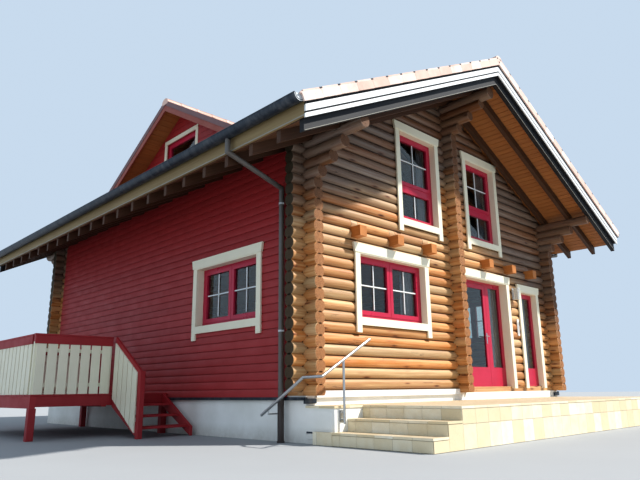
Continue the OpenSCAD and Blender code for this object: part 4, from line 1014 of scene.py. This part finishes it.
def dormer_roof():
    """Tiled slopes of the dormer with their boarded soffit, bargeboards, caps and valleys."""
    under_tiles = (Z * (ROOF_TOP - 0.03), Vector((SLOPE, 0.0, -1.0)).normalized())
    tiles = Piece("dormer_tile_courses", "roof_tile", [TILE, SHADE_DARK_BOARD], replaces=["dormer_roof"])
    soffit = Piece("dormer_soffit", "sawn_timber", [CEILING])
    barge = Piece("dormer_bargeboards", "red_boards", [RED_BROWN, GREY_BROWN])
    top = Vector((0.0, DORMER_Y, DORMER_TOP))
    reach = DORMER_HALF + DORMER_OVER
    deep = reach / math.cos(DORMER_ANGLE)
    step, front, back = deep / 20.4, -4.28, -0.50
    board = [(0.002, 0.0), (step - 0.002, 0.0), (step - 0.002, 0.068), (0.002, 0.068)]
    for side in (-1, 1):
        down = Vector((0.0, side * math.cos(DORMER_ANGLE), -0.5))
        lay_tiles(tiles, top + X * -4.275 + down * 0.03, down, X, 8, (deep - 0.03) / 8, 12, 0.300,
                  lambda p: p.z > ROOF_TOP - SLOPE * abs(p.x) - 0.20, False)
        out = Vector((0.0, side * 0.5, math.cos(DORMER_ANGLE)))
        for k in range(20):
            near = top - Z * DORMER_THICK + down * (0.01 + k * step)
            soffit.sweep(board, near + X * front, near + X * back, down, out)
        for x, sunk, high, tag in ((-4.294, 0.040, 0.110, 1), (-4.287, 0.158, 0.120, 0)):
            low, high = -sunk - high / 2, -sunk + high / 2
            foot, drop = deep * down.y, deep * down.z
            face = [(0.0, low), (foot, low + drop), (foot, high + drop), (0.0, high)]
            barge.sweep(face, top + X * (x - 0.012), top + X * (x + 0.012), Y, Z, tag, grain=down)
    for piece in (tiles, soffit):
        cut_off(piece.done(), *under_tiles)
    barge.done()
    caps = ridge_row("dormer_ridge_caps", top + X * -4.31, X, Y, 9, 0.375, 0.045, (-0.045, -0.0486), -0.085)
    cut_off(caps, *under_tiles)
    valley = Piece("dormer_valleys", "grey_metal", [METAL])
    for side in (-1, 1):
        high = Vector((-0.47 / SLOPE, DORMER_Y, DORMER_TOP + 0.006))
        low = Vector((-(0.47 + DORMER_SLOPE * reach) / SLOPE, DORMER_Y + side * reach,
                      DORMER_TOP + 0.006 - DORMER_SLOPE * reach))
        valley.bar(high, low, 0.14, 0.010, Z, 0.001)
    valley.done()


def door_handle():
    """Lever handles on long plates, one on each face of the door leaf."""
    piece = Piece("door_handle", "rail_steel", [STEEL], body="door")
    x, z = HANDLE_X, HANDLE_Z
    for y, outward in ((0.050, -1), (0.100, 1)):
        piece.block(x - 0.018, x + 0.018, *sorted((y, y + outward * 0.008)), z - 0.150, z + 0.070, "z", 0.002)
        for x0, x1, near, far, height, radius in ((x, x, 0.006, 0.055, z, 0.010),
                                                  (x + 0.012, x - 0.120, 0.050, 0.050, z, 0.010),
                                                  (x, x, 0.006, 0.014, z - 0.090, 0.011)):
            start, end = Vector((x0, y + outward * near, height)), Vector((x1, y + outward * far, height))
            piece.tube(start, end, radius, 14)
    piece.done()


def front_fittings():
    """Small things on the front: a weather plate beside the door and the hatch in the end of the ledge."""
    plate = Piece("weather_plate", "white_boards", [WHITE_WOOD])
    plate.block(2.300, 2.375, -0.118, -0.098, 1.800, 2.150, "z", 0.004)
    plate.tube(Vector((2.3375, -0.124, 1.860)), Vector((2.3375, -0.124, 2.090)), 0.006, 10)
    plate.block(2.325, 2.350, -0.126, -0.116, 1.840, 1.862, "z")
    plate.done()
    hatch = Piece("ledge_hatch", "white_plaster", [PLASTER, METAL])
    x = -PLINTH_X
    hatch.block(x - 0.010, x - 0.001, -0.620, -0.125, 0.060, 0.440, "y")
    x -= 0.014
    hatch.bar(Vector((x, -0.105, 0.150)), Vector((x, -0.230, 0.150)), 0.006, 0.022, Z, 0.001, 1)
    hatch.tube(Vector((x, -0.108, 0.130)), Vector((x, -0.108, 0.170)), 0.007, 12)
    hatch.done()


def curtain(name, x0, x1, top, foot, folds):
    """A gathered curtain on its rod. Its flat width is what its folds measure, drawn out straight."""
    y = CURTAIN_Y
    rod = Piece(name + "_curtain_rod", "rail_steel", [STEEL])
    rod.tube(Vector((x0 - 0.03, y, top)), Vector((x1 + 0.03, y, top)), 0.009, 12)
    for x in (x0 - 0.02, x1 + 0.02):
        rod.block(x - 0.006, x + 0.006, 0.101, y, top - 0.007, top + 0.007, "y", 0.001)
    rod.done()
    across, upward = folds * 14, 12
    cloth = Piece(name + "_curtain", None, [LINEN])
    rows = []
    for t in (j / upward for j in range(upward + 1)):
        row = []
        for s in (i / across for i in range(across + 1)):
            wave = math.sin(2 * math.pi * folds * s + math.sin(5.0 * s + t))
            row.append(Vector((x0 + (x1 - x0) * s, y + CURTAIN_DEPTH * (0.9 + 0.15 * t) * wave,
                               top - 0.010 - (top - foot) * t)))
        rows.append(row)
    middle = rows[upward // 2]
    width = sum((b - a).length for a, b in zip(middle, middle[1:]))
    w = across + 1
    faces = [[j * w + i, j * w + i + 1, (j + 1) * w + i + 1, (j + 1) * w + i] for j in range(upward)
             for i in range(across)]
    cloth.add([p for row in rows for p in row], faces, smooth=[True] * len(faces))
    cloth.grain = [(width * i / across, (top - foot) * j / upward, 0.0) for j in range(upward + 1)
                   for i in range(w)]
    made = cloth.done(sharp=80.0)


def camera():
    """Stands the camera low in front of the left corner, as the photographer did."""
    data = bpy.data.cameras.new("view")
    data.sensor_width = SENSOR_MM
    data.lens = SENSOR_MM * LENS_WIDTHS
    data.clip_end = 200.0
    eye = bpy.data.objects.new("view", data)
    yaw, pitch, roll = (math.radians(a) for a in (CAMERA_YAW, CAMERA_PITCH, CAMERA_ROLL))
    ahead = Vector((math.sin(yaw) * math.cos(pitch), math.cos(yaw) * math.cos(pitch), math.sin(pitch)))
    right = Vector((math.cos(yaw), -math.sin(yaw), 0.0))
    up = right.cross(ahead)
    right, up = (math.cos(roll) * right + math.sin(roll) * up,
                 math.cos(roll) * up - math.sin(roll) * right)
    turn = Matrix((right, up, -ahead)).transposed()
    eye.matrix_world = Matrix.Translation(CAMERA_PLACE) @ turn.to_4x4()
    bpy.context.scene.collection.objects.link(eye)
    bpy.context.scene.camera = eye


def studio():
    """A pale floor, an even pale sky and one soft key light from the upper right of the front."""
    bpy.ops.mesh.primitive_plane_add(size=160.0, location=(0.0, 0.0, -0.002))
    floor = bpy.context.object
    floor.name = "floor"
    floor.data.materials.append(pale_floor())
    world = bpy.data.worlds.new("sky")
    bpy.context.scene.world = world
    world.use_nodes = True
    sky = world.node_tree.nodes["Background"].inputs
    sky["Color"].default_value = SKY_COLOUR
    sky["Strength"].default_value = SKY_STRENGTH
    data = bpy.data.lights.new("key", "SUN")
    data.energy = SUN_STRENGTH
    data.angle = math.radians(SUN_WIDTH)
    data.color = SUN_COLOUR
    key = bpy.data.objects.new("key", data)
    key.rotation_euler = SUN_WAY.to_track_quat("-Z", "Y").to_euler()
    bpy.context.scene.collection.objects.link(key)


LOGS = [log_pine(), log_end_grain()]
RED_BOARDS = painted_wood("red stained boards", "aa3032", "781e20", rough=0.5)
RED_TIMBER = painted_wood("red stained timber", "aa2c32", "761c22", rough=0.5)
RED_BROWN = painted_wood("red brown bargeboards", "9a5244", "74382e", rough=0.5)
GREY_BROWN = painted_wood("weathered verge boards", "84686a", "66504e", rough=0.6)
WHITE_WOOD = painted_wood("white painted boards", "eceeee", "cfd2d2", wear=0.2)
# pale strips: the fascia's lower edge, and a painted highlight on the barge rafters' lower edge
GREY_EDGE = painted_wood("weathered edge strips and painted highlight", "a3a096", "827f76", wear=0.4)
# dark boards that stand for shade in gaps and notches: painted shade
SHADE_DARK_BOARD = painted_wood("dark boards as painted shade", "2c2c30", "1c1c20", rough=0.7)
CREAM = painted_wood("cream painted boards", "f0ecd6", "d8d2ba")
CEILING = sawn_timber("boards under the right roof", "c88648", "945e34", "own")
# darker copy of the soffit boards for the left roof: painted shade
SHADED_CEILING_COPY = sawn_timber("left roof boards darkened as painted shade", "7c5436", "523622", "own")
JOIST = sawn_timber("sawn joists", "dc9450", "b06c34", "along")
FASCIA = sawn_timber("weathered fascia boards", "b4a27a", "86724f", "along")
# barge colours: dark anthracite paint made darker still as painted shade
RAFTER = sawn_timber("oiled rafters", "60402a", "3e281a", "slope", barge="191b20")
ROOF_BOARDS = sawn_timber("roof boards", "8a5c3a", "5c3a24", "along", barge="202227")
WHITE_PAINT = painted_wood("white painted plinth board", "eceeee", "cfd2d2", "across")
CREAM_TRIM = painted_wood("cream painted casings", "f0ecd6", "d8d2ba", "across", wear=0.2)
CRIMSON = painted_wood("crimson joinery paint", "c02648", "961c38", "across", rough=0.3)
RED_WALL = painted_wood("red stained dormer", "aa3032", "781e20", "along", rough=0.5)
PLASTER, STONE, MORTAR, TILE = wall_plaster(), stone_tiles(), tile_mortar(), roof_tiles()
METAL = sheet_metal("anthracite gutter sheet", "3a424c")
PALE_METAL = sheet_metal("pale gutter caps", "c9ced1", 0.4, 0.2)
PIPE = sheet_metal("grey brown rain pipe", "6c6864", metallic=0.2, dusty=0.3)
CAST_BROWN = sheet_metal("brown cast pipe foot", "3c2e28", 0.5, 0.1, 0.25)
LAMP = sheet_metal("pale lamp metal", "d4d6d4", 0.4, 0.2)
STEEL, GLASS, LINEN = rail_steel(), pane_glass(), curtain_cloth()

for nodes, made in (
        ("plinth", PLASTER), ("ground_floor upper_floor floor_joists", JOIST), ("handrail", STEEL),
        ("left_rafters right_rafters", RAFTER), ("left_roof right_roof", ROOF_BOARDS),
        ("left_fascia right_fascia", FASCIA), ("left_downpipe right_downpipe", PIPE),
        ("base_board", WHITE_PAINT), ("window_casings door_casing", CREAM_TRIM),
        ("window_frames door_frame terrace_door", CRIMSON), ("window_glass terrace_door_glass", GLASS),
        ("dormer_walls", RED_WALL), ("wall_lamp", LAMP)):
    for node in nodes.split():
        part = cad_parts[node]
        part.data.materials.clear()
        part.data.materials.append(made)

for build in (gable_walls, side_walls, purlins, side_boards, soffit_boards, main_roof, window_bars,
              terrace_and_steps, gutter_runs, eaves_and_verges, verge_trims, rain_pipes, deck_timbers,
              deck_railing, deck_stair, dormer_front, dormer_roof, door_handle, front_fittings):
    build()
for row in CURTAINS:
    curtain(*row)
camera()
studio()
view = bpy.context.scene.view_settings
view.view_transform = "Standard"
view.look = "Medium High Contrast"
